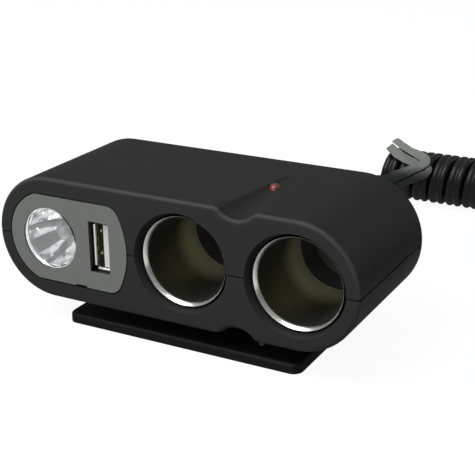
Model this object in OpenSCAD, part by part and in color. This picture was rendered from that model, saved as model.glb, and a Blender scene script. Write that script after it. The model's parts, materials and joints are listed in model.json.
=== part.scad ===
// Two-way car power socket splitter with a USB port and a torch, on a swivel base.
// Its twin-core lead is folded, wound round itself and tied, and ends in an accessory plug.
// Millimetres, +Z up, front face towards -Y, origin at the bottom centre of the base.

/* [Housing] */
// Length of the housing along X
body_l = 100; // [96:1:110]
// Height of the housing, which is also the diameter of its round ends
body_h = 32; // [31:0.5:36]
// Depth of the housing from front to back
body_d = 41; // [41:0.5:50]
// Thickness of the front wall
front_wall = 2.6; // [2.3:0.1:3]
// Thickness of the top, bottom, end and back walls
wall = 2; // [1.6:0.1:2.2]
// Fillet round the edge of the front face
front_fillet = 1.2; // [0.6:0.1:2]
// Fillet round the edge of the back face
back_fillet = 1.5; // [1.25:0.25:4]
// Radius of the waist groove between the sockets, at the front
waist_r = 6; // [5:0.25:8]
// Depth of the waist groove at the front
waist_depth = 2.4; // [1.5:0.1:3]
// Radius of the shallow lip that eases the waist groove into the top, at the front
waist_lip_r = 16; // [10:0.5:18]
// Depth of that lip at the front
waist_lip_depth = 1; // [0.6:0.1:1.4]
// Length of the waist groove, front to where it runs out
waist_run = 33; // [20:1:38]
// Width and depth of the shadow line along the seam
seam_gap = 0.4; // [0.2:0.05:0.6]

/* [Sockets] */
// Distance between the two socket axes
socket_pitch = 30; // [28.5:0.25:32]
// Radius of the bore of a socket tube
socket_bore_r = 10.5; // [10.2:0.05:10.7]
// Wall of a socket tube
tube_wall = 0.6; // [0.4:0.05:0.8]
// Radius of the rolled rim of a socket tube
rim_r = 11.85; // [11.6:0.05:12]
// Height of the rolled rim, front to back
rim_h = 0.7; // [0.4:0.1:0.9]
// How far the mouth of a socket tube opens out, at 45 degrees
mouth_flare = 0.8; // [0.3:0.1:0.8]
// How far the rim sits behind the front face
rim_depth = 1.9; // [1:0.1:1.9]
// Radius of the dished hole at the front face
dish_r = 12.7; // [12.3:0.1:13]
// How far a socket tube ends in front of the floor of its cup
tube_stop = 7.8; // [6.4:0.1:10]
// Radius of an insulator cup
cup_r = 11.9; // [11.7:0.05:12.1]
// Room behind the floor of the insulator cups, for the bus bar and the wires
cup_room = 7.7; // [7.2:0.1:9]
// Thickness of the floor of an insulator cup
cup_floor_t = 2.5; // [1.5:0.1:2.6]
// Radius of the centre contact's head
contact_r = 5.5; // [4:0.25:6.5]
// How far a centre contact stands in front of the floor of its cup
contact_stand = 5; // [4.4:0.1:5.5]
// Travel of a centre contact
contact_travel = 2; // [1:0.1:2.1]

/* [Bezel] */
// Radius of the bezel's left end
bezel_r = 12; // [11.5:0.25:13]
// Height of the bezel
bezel_h = 22.6; // [21:0.2:24]
// Length of the bezel
bezel_l = 35; // [33:0.25:35.5]
// Radius of the bezel's bowed right edge
bezel_bow_r = 20.5; // [16:0.5:30]
// Radius of the bezel's right corners
bezel_corner_r = 3.6; // [2:0.2:5]
// Thickness of the bezel
bezel_t = 1.5; // [1:0.1:1.8]
// Width of the ledge that the bezel rests on
ledge_w = 1.3; // [0.8:0.1:1.8]

/* [Torch] */
// Radius of the torch lens
lens_r = 8; // [7:0.1:8.4]
// Thickness of the torch lens
lens_t = 1.6; // [1:0.1:2]
// Depth of the torch reflector
reflector_h = 8; // [6:0.25:9]
// Wall of the reflector
reflector_t = 0.6; // [0.4:0.1:0.8]
// Radius of the torch's light-emitting diode
torch_led_r = 2.5; // [2:0.1:2.8]
// Wall of the sleeve round the torch
sleeve_t = 1.2; // [0.8:0.1:1.4]
// Travel of the torch's slide switch
switch_travel = 4; // [2:0.25:4]

/* [USB port] */
// Distance of the port from the torch's axis
usb_offset = 15; // [14.5:0.1:15.5]
// Height of the port's metal shell
usb_h = 13.1; // [13:0.05:13.2]
// Width of the port's metal shell
usb_w = 5.7; // [5.5:0.05:5.9]
// Depth of the port's metal shell
usb_d = 14; // [12:0.5:15]
// Sheet of the port's metal shell
usb_t = 0.35; // [0.25:0.05:0.45]

/* [Indicator] */
// Radius of the red indicator
led_r = 1.5; // [1.2:0.1:2]
// How far the indicator's dome stands up
led_stand = 1.3; // [0.8:0.1:1.5]

/* [Base] */
// Length of the base plate
base_l = 66; // [60:1:90]
// Width of the base plate
base_w = 37; // [32:1:40]
// Thickness of the base plate
base_t = 2.6; // [2.4:0.1:4]
// Corner radius of the base plate
base_corner_r = 2.5; // [1.5:0.25:6]
// Fillet round the top edge of the base plate
base_fillet = 0.9; // [0.4:0.1:1.2]
// Distance of the swivel from the middle of the housing
swivel_x = 1.5; // [-2:0.25:3]
// Gap between the base plate and the housing
base_gap = 4.5; // [3.5:0.25:7]
// Radius of the raised turntable on the base
turntable_r = 12; // [8:0.5:15]
// Thickness of the adhesive pad
pad_t = 0.8; // [0.5:0.1:1]
// Width of the rim round the adhesive pad
pad_rim = 2.5; // [1.5:0.25:4]
// Radius of the pivot screw's shoulder
shoulder_r = 3; // [2.5:0.1:3.5]

/* [Fasteners] */
// Radius of a housing screw's shank
screw_r = 1.1; // [1:0.05:1.2]
// Radius of a housing screw's head
screw_head_r = 2; // [1.8:0.05:2.1]
// Height of a housing screw's head
screw_head_h = 1.6; // [1.2:0.1:2]
// Length of a housing screw's shank
screw_l = 19; // [18:0.5:20]

/* [Lead] */
// Width of the twin-core lead
cord_w = 5.2; // [5:0.1:5.3]
// Thickness of the twin-core lead, which is the diameter of one core
cord_t = 2.6; // [2.4:0.1:2.7]
// Turns in the wound bundle
wrap_turns = 12; // [8:1:12]
// Distance from one turn to the next
wrap_pitch = 5.7; // [5.7:0.05:5.8]
// Radius of the wound bundle, outside
wrap_r = 8.35; // [8.2:0.05:8.4]
// Width of the twist tie
tie_w = 2.8; // [2.2:0.1:3]
// Thickness of the twist tie
tie_t = 0.5; // [0.3:0.05:0.5]
// Length of the strain relief outside the housing
relief_l = 21.5; // [21.5:0.5:21.5]
// Radius of the strain relief at the housing
relief_r = 4.2; // [3.8:0.1:4.6]

/* [Plug] */
// Radius of the plug's grip
grip_r = 12; // [11.5:0.1:12]
// Length of the plug's grip
grip_l = 22; // [18:0.5:24]
// Radius of the plug's barrel
barrel_r = 10.2; // [10:0.05:10.3]
// Length of the plug's barrel
barrel_l = 28; // [26:0.5:30]
// Wall of the plug's two half shells
plug_wall = 2; // [1.5:0.1:2.4]
// Length of the nose cap
nose_l = 8; // [6:0.5:10]
// Radius of the fuse
fuse_r = 3.15; // [2.5:0.05:3.2]
// Length of the fuse
fuse_l = 30; // [28:0.5:30]
// How far the tip stands out of the nose cap
tip_out = 5; // [4:0.25:7]
// Travel of the tip
tip_travel = 3; // [2:0.25:3]
// Travel of a side spring
side_travel = 0.7; // [0.4:0.1:0.8]

/* [Hidden] */

$fn = 64;
// Fits and overruns
cut = 1;
running = 0.05;
snug = 0.1;
loose = 0.2;

// Places that follow from the sizes above
seam_z = base_t + base_gap + body_h / 2;
front_y = -body_d / 2;
back_y = body_d / 2;
end_x = body_l / 2 - body_h / 2;
torch_x = -end_x;
right_x = end_x;
left_x = right_x - socket_pitch;
waist_x = (left_x + right_x) / 2;
usb_x = torch_x + usb_offset;
tube_r = socket_bore_r + tube_wall;
cavity_front_y = front_y + front_wall;
cavity_back_y = back_y - wall;
cavity_half_h = body_h / 2 - wall;
cup_floor_y = back_y - cup_room;
cup_back_y = cup_floor_y + cup_floor_t;
tube_back_y = cup_floor_y - tube_stop;
contact_y = cup_floor_y - contact_stand;

// Waist groove: an oblique cone whose tip lies on the top face
waist_end_y = front_y + waist_run;
waist_over_share = 1.15;

// Socket carriers inside the housing
collar_len = 5;
collar_r = 13;
cradle_y = cup_floor_y - 3.8;
cradle_t = 2;
skirt_len = 3;
cup_bore_r = socket_bore_r - 0.2;
stem_r = 1.9;
stem_bore_r = stem_r + running + 0.05;
contact_t = 1.2;
contact_dome_r = 2.2;
contact_dome_h = 0.5;
clip_t = 0.5;
clip_r = 3.2;
spring_wire = 0.5;
spring_r = 3.1;
spring_turns = 3;

// Housing screws: places in plan
boss_r = 2.8;
screw_seat = 3;
screw_spots = [
    [waist_x, front_y + 8.5], [waist_x, cup_floor_y - 3.8],
    [left_x - cup_r - boss_r - 1, cup_floor_y + 0.2], [torch_x - 8, cup_floor_y - 3.8]
];

// Bezel outline
bezel_left_x = torch_x - bezel_r;
bow_x = bezel_left_x + bezel_l - bezel_bow_r;
corner_z = bezel_h / 2 - bezel_corner_r;
corner_x = bow_x + sqrt(pow(bezel_bow_r - bezel_corner_r, 2) - corner_z * corner_z);
bow_half_share = corner_z / (bezel_bow_r - bezel_corner_r);
bezel_gap = 0.35;
bezel_skirt = 3;
slot_w = 3.4;
slot_h = 0.4;
slot_x = -25;

// Torch
sleeve_r = lens_r + snug / 2;
sleeve_depth = 15.5;
torch_board_t = 1.4;
torch_board_depth = 13;
torch_board_y = front_y + torch_board_depth;
torch_led_depth = 4.9;
torch_led_tip_y = front_y + torch_led_depth;
torch_led_flange = 0.4;
reflector_y = front_y + lens_t + snug;
reflector_neck_r = torch_led_r + 0.6;
lens_dome = 0.4;

// Slide switch of the torch
switch_l = 8.6;
switch_d = 3.8;
switch_h = 3.8;
knob_w = 2.4;
knob_h = 2;
knob_pad_w = 4.4;
knob_pad_h = 5.2;
knob_pad_t = 0.8;
pocket_r = 3.5;
pocket_half = 6;
pocket_depth = 1;
switch_case_t = 0.6;
switch_x = torch_x - switch_travel / 2;

// USB port
usb_y = front_y + 0.4;
usb_clear = 0.1;
tongue_t = 1.84;
tongue_h = 11.1;
tongue_l = 8.9;
tongue_block = 3.6;
tongue_gap = 0.5;
pin_w = 1;
pin_t = 0.2;
pin_l = 7.4;
pin_pitch = 2.3;

// Circuit board, standing behind the port
board_t = 1.6;
board_right_x = usb_x - usb_w / 2 - running;
board_front_y = front_y + 5;
board_back_y = cavity_back_y - 4;
board_half_h = cavity_half_h - snug;
guide_w = 1.4;
guide_h = 1.4;
guide_l = 4;
parts_y = usb_y + usb_d + 6;
coil_r = 4;
coil_h = 4.6;
coil_core_r = 2.2;
coil_flange = 0.8;
capacitor_r = 2.5;
capacitor_h = 6;
capacitor_pitch = 7;
chip_l = 5;
chip_w = 4;
chip_h = 1.6;
chip_pin = 0.4;
chip_pins = 4;
parts_z = 6;

// Bus bars and wires
bus_t = 0.5;
bus_h = 4;
bus_z = 5.7;
bus_gap = 0.9;
bus_over = 4.4;
strap_w = 4;
strap_t = 0.5;
strap_gap = 3;
strap_y = tube_back_y - skirt_len - strap_gap - strap_w;
strap_over = 4;
wire_r = 0.8;
thin_wire_r = 0.4;
wire_step = 4;
led_wire_bend = 4;
torch_wire_x = 6;
torch_wire_z = 3;
switch_wire_x = 5;
switch_wire_y = 5;
drop_x = waist_x + boss_r + wire_r + 0.6;
terminal_r = 4.2;
terminal_t = 0.4;
tab_w = 3;

// Indicator
led_share = (waist_end_y - 0) / waist_run;
led_top_z = body_h / 2 - waist_depth * led_share;
led_flange_r = led_r + 0.4;
led_flange_t = 1;
led_leg = 0.5;
led_leg_l = 7;
led_leg_gap = 1.27;

// Base and pivot
housing_bottom_z = base_t + base_gap;
washer_t = 0.4;
washer_r = 7;
pivot_head_r = 4.6;
pivot_head_h = 1.5;
pivot_thread_r = 1.5;
insert_r = 2.3;
insert_l = 3.2;
pivot_boss_r = 3.8;
pivot_boss_h = 3.8;
nub_r = 0.7;
nub_h = 1.2;
nub_spot = [waist_x + waist_r - 0.2, front_y + 2.2];

// Strain relief of the housing
relief_x = waist_x;
relief_neck_r = 3.3;
relief_flange_r = 4.6;
relief_flange_t = 1.2;
relief_tip_r = 3.3;
relief_ribs = 5;
relief_y = back_y + relief_l;

// Lead: the route's points, chosen by hand, from the strain relief to the bundle's first turn
lead_route = [
    [19, 42, 23.1], [19, 48, 22.8], [18.8, 54, 21.2], [18.2, 60, 17.8],
    [17.2, 65.4, 13.4], [15.8, 70.6, 9], [13.8, 75.8, 5.2], [11, 81, 2.6],
    [7.6, 85.8, 1.6], [3.6, 90.4, 1.4], [-0.4, 95, 1.35], [-3.6, 100.4, 1.35],
    [-5.2, 106.4, 1.35], [-5.6, 113, 1.35], [-5.6, 120.2, 1.35], [-4.8, 123.2, 1.35],
    [-2.8, 125.2, 1.35], [0, 126, 1.35], [2.8, 125.2, 1.35], [4.8, 123.2, 1.35],
    [5.6, 121.2, 1.35], [5.6, 120.2, 1.35]
];
// Lead: the route's points from the bundle to the plug
tail_route = [
    [76, 115, 4.6], [78.8, 114.4, 4], [81, 112.2, 2.8], [82, 108.4, 2], [82.2, 103.8, 2.2],
    [82.4, 99.2, 3.8], [82.8, 94.8, 6.4], [83.4, 90.4, 9.4], [83.9, 86.2, 11.5],
    [84, 82.2, 12], [84, 81, 12]
];
// Axis of the wound bundle, and where its first turn starts
bundle_y = 115;
bundle_z = 8.4;
bundle_x = 5.6;
bundle_over = 3;
wrap_mean_r = wrap_r - cord_t / 2;
core_r = wrap_r - cord_t - 0.45;
core_round = 1;
wrap_rings = 24;

// Plug: it lies beside the housing, its nose towards -Y
plug_x = 84;
plug_z = grip_r;
plug_back_y = 62;
plug_relief_l = 19;
plug_relief_r = 4.6;
plug_relief_tip_r = 3.3;
plug_relief_neck_r = 3.6;
barrel_y = plug_back_y - grip_l;
nose_y = barrel_y - barrel_l;
nose_end_y = nose_y - nose_l;
tip_r = 3;
tip_flange_r = 4.2;
tip_flange_t = 1.6;
fuse_front_y = nose_y - 1;
fuse_cap_l = 5;
side_spring_t = 0.5;
side_spring_w = 5;
side_spring_l = 16;
side_spring_stand = 0.7;
plug_screw_y = plug_back_y - 7;
plug_spring_r = 2.8;
plug_spring_turns = 4;
plug_spring_l = 7;
rear_contact_t = 0.8;
rear_contact_half = 4;
plug_rib = 1.6;
plug_skirt = 4;
fuse_guide_y = nose_y + 8;
fuse_end_y = nose_end_y + plug_wall + running + tip_flange_t + fuse_l;
rear_contact_y = fuse_end_y + plug_spring_l;
ground_ring_t = 0.5;
ground_ring_w = 4;
plug_screw_seat = 3;
plug_screw_l = 12;
grip_grooves = 6;
grip_groove_r = 0.8;

// Round shapes along Y: cylinder, cone, ring and turned profile
module round_y(x, z, y0, y1, r, r_end = undef) {
    translate([x, y0, z]) rotate([-90, 0, 0])
        cylinder(h = y1 - y0, r1 = r, r2 = is_undef(r_end) ? r : r_end);
}

module ring_y(x, z, y0, y1, r, bore) {
    difference() {
        round_y(x, z, y0, y1, r);
        round_y(x, z, y0 - cut, y1 + cut, bore);
    }
}

module turned_y(x, z, y0) {
    translate([x, y0, z]) rotate([-90, 0, 0]) rotate_extrude() children();
}

// A flat outline in X and Z, made thick from y0 to y1
module plate_y(y0, y1) {
    translate([0, y1, 0]) rotate([90, 0, 0]) linear_extrude(y1 - y0) children();
}

// A box from its low corner to its high corner
module block(low, high) {
    translate(low) cube(high - low);
}

// Half of a rounded section: from the middle out to half, along t, with two rounded edges
module half_section(half, t, r_low, r_high) {
    translate([0, r_low]) square([half, t - r_low - r_high]);
    square([half - r_low, t]);
    translate([half - r_low, r_low]) circle(r_low);
    square([half - r_high, t]);
    translate([half - r_high, t - r_high]) circle(r_high);
}

// The housing's outer form, less an inset all round: a bar with round ends and filleted faces
module housing_bar(inset_h, inset_front, inset_back, r_front, r_back) {
    half = body_h / 2 - inset_h;
    y0 = front_y + inset_front;
    t = body_d - inset_front - inset_back;
    for (side = [-1, 1])
        translate([side * end_x, y0, 0]) rotate([-90, 0, 0]) rotate([0, 0, -90 * side])
            rotate_extrude(angle = 180) half_section(half, t, r_front, r_back);
    translate([0, y0, 0]) rotate([0, -90, 0]) linear_extrude(2 * end_x, center = true) {
        half_section(half, t, r_front, r_back);
        mirror([1, 0]) half_section(half, t, r_front, r_back);
    }
}

// The waist groove in the top face, sunk by a further depth
module waist_groove(sink, r, depth) {
    rise = r - depth;
    tilt = atan(rise / waist_run);
    len = sqrt(waist_run * waist_run + rise * rise) * waist_over_share;
    translate([waist_x, waist_end_y, body_h / 2 - sink]) rotate([90 - tilt, 0, 0])
        cylinder(h = len, r1 = 0, r2 = len * tan(tilt + atan(depth / waist_run)));
    turned_y(waist_x, body_h / 2 - sink + rise, front_y) difference() {
        square([r + front_fillet, front_fillet]);
        translate([r + front_fillet, front_fillet]) circle(front_fillet);
    }
}

module waist_grooves(sink) {
    for (side = [0, 1]) mirror([0, 0, side]) {
        waist_groove(sink, waist_r, waist_depth);
        waist_groove(sink, waist_lip_r, waist_lip_depth);
    }
}

module housing_outer() {
    difference() {
        housing_bar(0, 0, 0, front_fillet, back_fillet);
        waist_grooves(0);
    }
}

module housing_cavity() {
    difference() {
        housing_bar(wall, front_wall, wall, seam_gap, back_fillet - wall / 2);
        waist_grooves(wall);
    }
}

// The bezel's outline, grown all round
module bezel_outline(grow) {
    half = bezel_h / 2 + grow;
    bow = bezel_bow_r + grow;
    intersection() {
        translate([torch_x, 0]) circle(bezel_r + grow);
        translate([torch_x - 2 * bezel_r, -half]) square([2 * bezel_r, 2 * half]);
    }
    translate([torch_x, -half]) square([corner_x - torch_x, 2 * half]);
    for (side = [-1, 1])
        translate([corner_x, side * corner_z]) circle(bezel_corner_r + grow);
    intersection() {
        translate([bow_x, 0]) circle(bow);
        translate([torch_x, -bow * bow_half_share]) square([bezel_l, 2 * bow * bow_half_share]);
    }
}

// What fills the cavity: collars, cradles, bosses, ledge and guides
module housing_fittings() {
    for (x = [left_x, right_x]) {
        ring_y(x, 0, cavity_front_y - cut, cavity_front_y + collar_len, collar_r, tube_r + snug);
        ring_y(x, 0, cradle_y, cradle_y + cradle_t, cavity_half_h + cut, cup_r + snug);
    }
    for (spot = screw_spots)
        translate([spot[0], spot[1], -body_h / 2]) cylinder(h = body_h, r = boss_r);
    plate_y(cavity_front_y - cut, cavity_front_y + ledge_w) difference() {
        bezel_outline(ledge_w);
        bezel_outline(-ledge_w);
    }
    translate([swivel_x, 0, -body_h / 2]) cylinder(h = pivot_boss_h, r = pivot_boss_r);
    for (side = [-1, 1])
        for (x = [board_right_x - board_t - running - guide_w, board_right_x + running])
            translate([x, board_back_y - guide_l,
                side > 0 ? cavity_half_h - guide_h : -cavity_half_h - cut])
                cube([guide_w, guide_l, guide_h + cut]);
}

// The way through the cradles for the wires
module wire_way() {
    half = wire_r + loose;
    block([drop_x - half, cradle_y - cut, -cavity_half_h],
        [drop_x + half, cradle_y + cradle_t + cut, cavity_half_h]);
}

// A dished hole for a socket's rim, down to its seat on the collar
module socket_hole(x) {
    round_y(x, 0, front_y, front_y + rim_depth, dish_r, rim_r + loose);
    round_y(x, 0, front_y - cut, front_y, dish_r);
    round_y(x, 0, front_y + rim_depth - snug, cavity_front_y, rim_r + loose);
    round_y(x, 0, front_y, cavity_front_y + collar_len + cut, tube_r + snug);
}

module slide_pocket() {
    plate_y(back_y - pocket_depth, back_y + cut) {
        translate([torch_x - pocket_half + pocket_r, -pocket_r])
            square([2 * (pocket_half - pocket_r), 2 * pocket_r]);
        for (side = [-1, 1])
            translate([torch_x + side * (pocket_half - pocket_r), 0]) circle(pocket_r);
    }
    half = (switch_travel + knob_w) / 2 + loose;
    block([torch_x - half, cavity_back_y - cut, -knob_h / 2 - snug],
        [torch_x + half, back_y, knob_h / 2 + snug]);
}

// Both half shells before they are parted at the seam
module housing() {
    difference() {
        housing_outer();
        difference() {
            housing_cavity();
            difference() {
                housing_fittings();
                wire_way();
            }
        }
        socket_hole(left_x);
        socket_hole(right_x);
        plate_y(front_y - cut, front_y + bezel_t + snug / 2) bezel_outline(bezel_gap);
        plate_y(front_y, cavity_front_y + ledge_w + cut) bezel_outline(-ledge_w);
        slide_pocket();
        round_y(relief_x, 0, cavity_back_y - cut, back_y + cut, relief_neck_r + running);
    }
}

module top_half_space() {
    block([-body_l, -body_d, 0], [body_l, body_d, body_h]);
}

module top_shell() {
    color("#303030") translate([0, 0, seam_z]) difference() {
        intersection() {
            housing();
            top_half_space();
        }
        for (spot = screw_spots)
            translate([spot[0], spot[1], -cut])
                cylinder(h = screw_l - body_h / 2 + screw_seat + 2 * cut, r = screw_r + running / 2);
        translate([waist_x, 0, 0]) cylinder(h = body_h, r = led_r + running);
        translate([waist_x, 0, 0]) cylinder(h = led_top_z - wall, r = led_flange_r + snug);
    }
}

module bottom_shell() {
    color("#2b2b2b") translate([0, 0, seam_z]) {
        difference() {
            intersection() {
                housing();
                mirror([0, 0, 1]) top_half_space();
            }
            difference() {
                block([-body_l, -body_d, -seam_gap], [body_l, body_d, cut]);
                housing_bar(seam_gap, seam_gap, seam_gap, front_fillet, back_fillet);
            }
            for (spot = screw_spots) translate([spot[0], spot[1], -body_h / 2]) {
                cylinder(h = body_h, r = screw_r + loose);
                translate([0, 0, -cut]) cylinder(h = screw_seat + cut, r = screw_head_r + loose);
            }
            translate([swivel_x, 0, -body_h / 2 - cut])
                cylinder(h = insert_l + cut, r = insert_r + running / 2);
        }
        translate([nub_spot[0], nub_spot[1], -body_h / 2 - nub_h]) cylinder(h = nub_h + wall, r = nub_r);
    }
}

module housing_screws() {
    color("#8c8c8c") translate([0, 0, seam_z - body_h / 2 + screw_seat])
        for (spot = screw_spots) translate([spot[0], spot[1], 0]) difference() {
            union() {
                cylinder(h = screw_l, r = screw_r);
                translate([0, 0, -screw_head_h]) cylinder(h = screw_head_h, r = screw_head_r);
            }
            for (turn = [0, 90]) rotate([0, 0, turn]) screw_slot();
        }
}

// One bar of the cross in a screw's head
module screw_slot() {
    translate([-screw_head_r * 0.7, -screw_r / 5, -screw_head_h - cut])
        cube([screw_head_r * 1.4, screw_r * 2 / 5, cut + screw_head_h / 2]);
}

// Grey bezel with the sleeve that holds the torch
module front_bezel() {
    color("#737672") translate([0, 0, seam_z]) {
        difference() {
            union() {
                plate_y(front_y, front_y + bezel_t) bezel_outline(0);
                plate_y(front_y + bezel_t - snug, front_y + bezel_t + bezel_skirt)
                    bezel_outline(-ledge_w - snug);
                round_y(torch_x, 0, front_y + bezel_t, front_y + sleeve_depth, sleeve_r + sleeve_t);
            }
            difference() {
                plate_y(front_y + bezel_t, front_y + bezel_t + bezel_skirt + cut)
                    bezel_outline(-2 * ledge_w - snug);
                round_y(torch_x, 0, front_y + bezel_t - cut, front_y + sleeve_depth, sleeve_r + sleeve_t);
            }
            round_y(torch_x, 0, front_y - cut, front_y + sleeve_depth + cut, sleeve_r);
            block([usb_x - usb_w / 2 - usb_clear, front_y - cut, -usb_h / 2 - usb_clear],
                [usb_x + usb_w / 2 + usb_clear, front_y + bezel_t + cut, usb_h / 2 + usb_clear]);
            block([slot_x - slot_w / 2, front_y - cut, -bezel_h / 2 - cut],
                [slot_x + slot_w / 2, front_y + bezel_t - snug, -bezel_h / 2 + slot_h]);
        }
    }
}

module torch_lens() {
    color("#e8eef2") translate([0, 0, seam_z]) turned_y(torch_x, 0, front_y + snug / 2) {
        difference() {
            translate([0, 0]) square([lens_r, lens_t]);
            translate([lens_r - lens_dome, 0]) rotate(-45) square([2 * lens_dome, 2 * lens_dome]);
        }
    }
}

// Reflector: a parabola from the neck to the mouth, turned round the torch's axis
function bowl(share) = reflector_neck_r + (lens_r - reflector_t - reflector_neck_r) * sqrt(share);
bowl_steps = 8;

module torch_reflector() {
    inner = [for (i = [0 : bowl_steps]) [bowl(i / bowl_steps), reflector_h * (1 - i / bowl_steps)]];
    outer = [for (i = [bowl_steps : -1 : 0])
        [min(bowl(i / bowl_steps) + reflector_t, lens_r), reflector_h * (1 - i / bowl_steps)]];
    color("#d8dadc") translate([0, 0, seam_z]) turned_y(torch_x, 0, reflector_y) {
        polygon(concat(inner, outer));
        translate([reflector_neck_r, reflector_h - reflector_t])
            square([reflector_t, torch_board_y - reflector_y - reflector_h + reflector_t]);
    }
}

module torch_led() {
    color("#f2f4f0") translate([0, 0, seam_z]) {
        translate([torch_x, torch_led_tip_y + torch_led_r, 0]) sphere(torch_led_r);
        round_y(torch_x, 0, torch_led_tip_y + torch_led_r, torch_board_y, torch_led_r);
        round_y(torch_x, 0, torch_board_y - 1, torch_board_y, torch_led_r + torch_led_flange);
    }
}

module torch_board() {
    color("#2f6b45") translate([0, 0, seam_z])
        round_y(torch_x, 0, torch_board_y, torch_board_y + torch_board_t, sleeve_r - running);
}

module torch_switch_case() {
    y0 = cavity_back_y - running - switch_d;
    y1 = cavity_back_y - running;
    half = (switch_travel + knob_w) / 2 + loose;
    color("#b9bcc0") translate([0, 0, seam_z]) difference() {
        block([torch_x - switch_l / 2, y0, -switch_h / 2], [torch_x + switch_l / 2, y1, switch_h / 2]);
        block([torch_x - half, y0 + switch_case_t, -knob_h / 2 - snug],
            [torch_x + half, y1 + cut, knob_h / 2 + snug]);
    }
}

module torch_switch_slider() {
    y0 = cavity_back_y - running - switch_d + switch_case_t + snug;
    y1 = back_y - pocket_depth + running;
    ribs = 4;
    color("#1f1f1f") translate([0, 0, seam_z]) difference() {
        union() {
            block([switch_x - knob_w / 2, y0, -knob_h / 2],
                [switch_x + knob_w / 2, y1 + snug, knob_h / 2]);
            block([switch_x - knob_pad_w / 2, y1, -knob_pad_h / 2],
                [switch_x + knob_pad_w / 2, y1 + knob_pad_t, knob_pad_h / 2]);
        }
        for (i = [1 : ribs - 1])
            translate([switch_x - knob_pad_w / 2 + i * knob_pad_w / ribs, y1 + knob_pad_t, 0])
                cylinder(h = knob_pad_h + cut, r = knob_pad_t / 4, center = true);
    }
}

module usb_shell() {
    color("#c9ccd0") translate([0, 0, seam_z]) difference() {
        block([usb_x - usb_w / 2, usb_y, -usb_h / 2], [usb_x + usb_w / 2, usb_y + usb_d, usb_h / 2]);
        block([usb_x - usb_w / 2 + usb_t, usb_y - cut, -usb_h / 2 + usb_t],
            [usb_x + usb_w / 2 - usb_t, usb_y + usb_d + cut, usb_h / 2 - usb_t]);
    }
}

// Insulating tongue with its back block, at the side away from the circuit board
tongue_x = usb_x + usb_w / 2 - usb_t - tongue_gap - tongue_t;
tongue_y = usb_y + usb_d - tongue_block - tongue_l;

module usb_tongue() {
    color("#d2d2cc") translate([0, 0, seam_z]) {
        block([tongue_x, tongue_y, -tongue_h / 2],
            [tongue_x + tongue_t, tongue_y + tongue_l + snug, tongue_h / 2]);
        block([usb_x - usb_w / 2 + usb_t + running, tongue_y + tongue_l, -usb_h / 2 + usb_t + running],
            [usb_x + usb_w / 2 - usb_t - running, usb_y + usb_d, usb_h / 2 - usb_t - running]);
    }
}

module usb_contacts() {
    color("#d9b45a") translate([0, 0, seam_z]) for (i = [-1.5 : 1 : 1.5])
        translate([tongue_x - pin_t, tongue_y + tongue_l - pin_l, i * pin_pitch - pin_w / 2])
            cube([pin_t, pin_l, pin_w]);
}

module circuit_board() {
    color("#2a5c3a") translate([0, 0, seam_z])
        block([board_right_x - board_t, board_front_y, -board_half_h],
            [board_right_x, board_back_y, board_half_h]);
}

module voltage_regulator() {
    color("#222222") translate([board_right_x, parts_y - chip_w / 2, seam_z - parts_z - chip_l / 2]) {
        translate([chip_pin, 0, 0]) cube([chip_h - chip_pin, chip_w, chip_l]);
        for (i = [0 : chip_pins - 1])
            translate([0, -chip_pin * 2, (i + 1 / 2) * chip_l / chip_pins - chip_pin / 2])
                cube([chip_pin * 2, chip_w + chip_pin * 4, chip_pin]);
    }
}

module inductor_coil() {
    color("#6e4a2c") translate([board_right_x, parts_y, seam_z]) rotate([0, 90, 0]) {
        cylinder(h = coil_h, r = coil_core_r);
        for (z = [0, coil_h - coil_flange]) translate([0, 0, z])
            cylinder(h = coil_flange, r = coil_r * 3 / 4);
        translate([0, 0, coil_flange]) cylinder(h = coil_h - 2 * coil_flange, r = coil_r * 2 / 3);
    }
}

module filter_capacitors() {
    color("#34383c") for (spot = [[parts_y, parts_z + 1], [parts_y + capacitor_pitch, parts_z],
        [parts_y + capacitor_pitch, -parts_z]])
        translate([board_right_x, spot[0], seam_z + spot[1]]) rotate([0, 90, 0]) {
            cylinder(h = capacitor_h, r = capacitor_r);
        }
}

// Socket: rolled steel tube, insulator cup, sprung centre contact
module socket_tube(x) {
    color("#b5b79f") translate([0, 0, seam_z]) difference() {
        union() {
            round_y(x, 0, front_y + rim_depth, tube_back_y, tube_r);
            turned_y(x, 0, front_y + rim_depth) {
                translate([rim_r - rim_h / 2, rim_h / 2]) circle(rim_h / 2);
                square([rim_r - rim_h / 2, rim_h]);
            }
        }
        round_y(x, 0, front_y, tube_back_y + cut, socket_bore_r);
        round_y(x, 0, front_y + rim_depth - snug, front_y + rim_depth + mouth_flare,
            socket_bore_r + mouth_flare, socket_bore_r);
    }
}

module insulator_cup(x) {
    color("#171717") translate([0, 0, seam_z]) difference() {
        round_y(x, 0, tube_back_y - skirt_len, cup_back_y, cup_r);
        round_y(x, 0, tube_back_y - skirt_len - cut, tube_back_y + running, tube_r + running);
        round_y(x, 0, tube_back_y, cup_floor_y, cup_bore_r);
        round_y(x, 0, cup_floor_y - cut, cup_back_y + cut, stem_bore_r);
        terminal_tab(x, running);
    }
}

module centre_contact(x) {
    color("#c2b489") translate([0, 0, seam_z]) {
        round_y(x, 0, contact_y + contact_t / 2, contact_y + contact_t, contact_r);
        round_y(x, 0, contact_y, contact_y + contact_t / 2, contact_r - contact_t / 2, contact_r);
        round_y(x, 0, contact_y - contact_dome_h, contact_y, contact_dome_r - contact_dome_h,
            contact_dome_r);
        round_y(x, 0, contact_y + contact_t, cup_back_y + clip_t * 2, stem_r);
    }
}

module contact_clip(x) {
    color("#9a9a9a") translate([0, 0, seam_z])
        ring_y(x, 0, cup_back_y, cup_back_y + clip_t, clip_r, stem_r + running);
}

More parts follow.
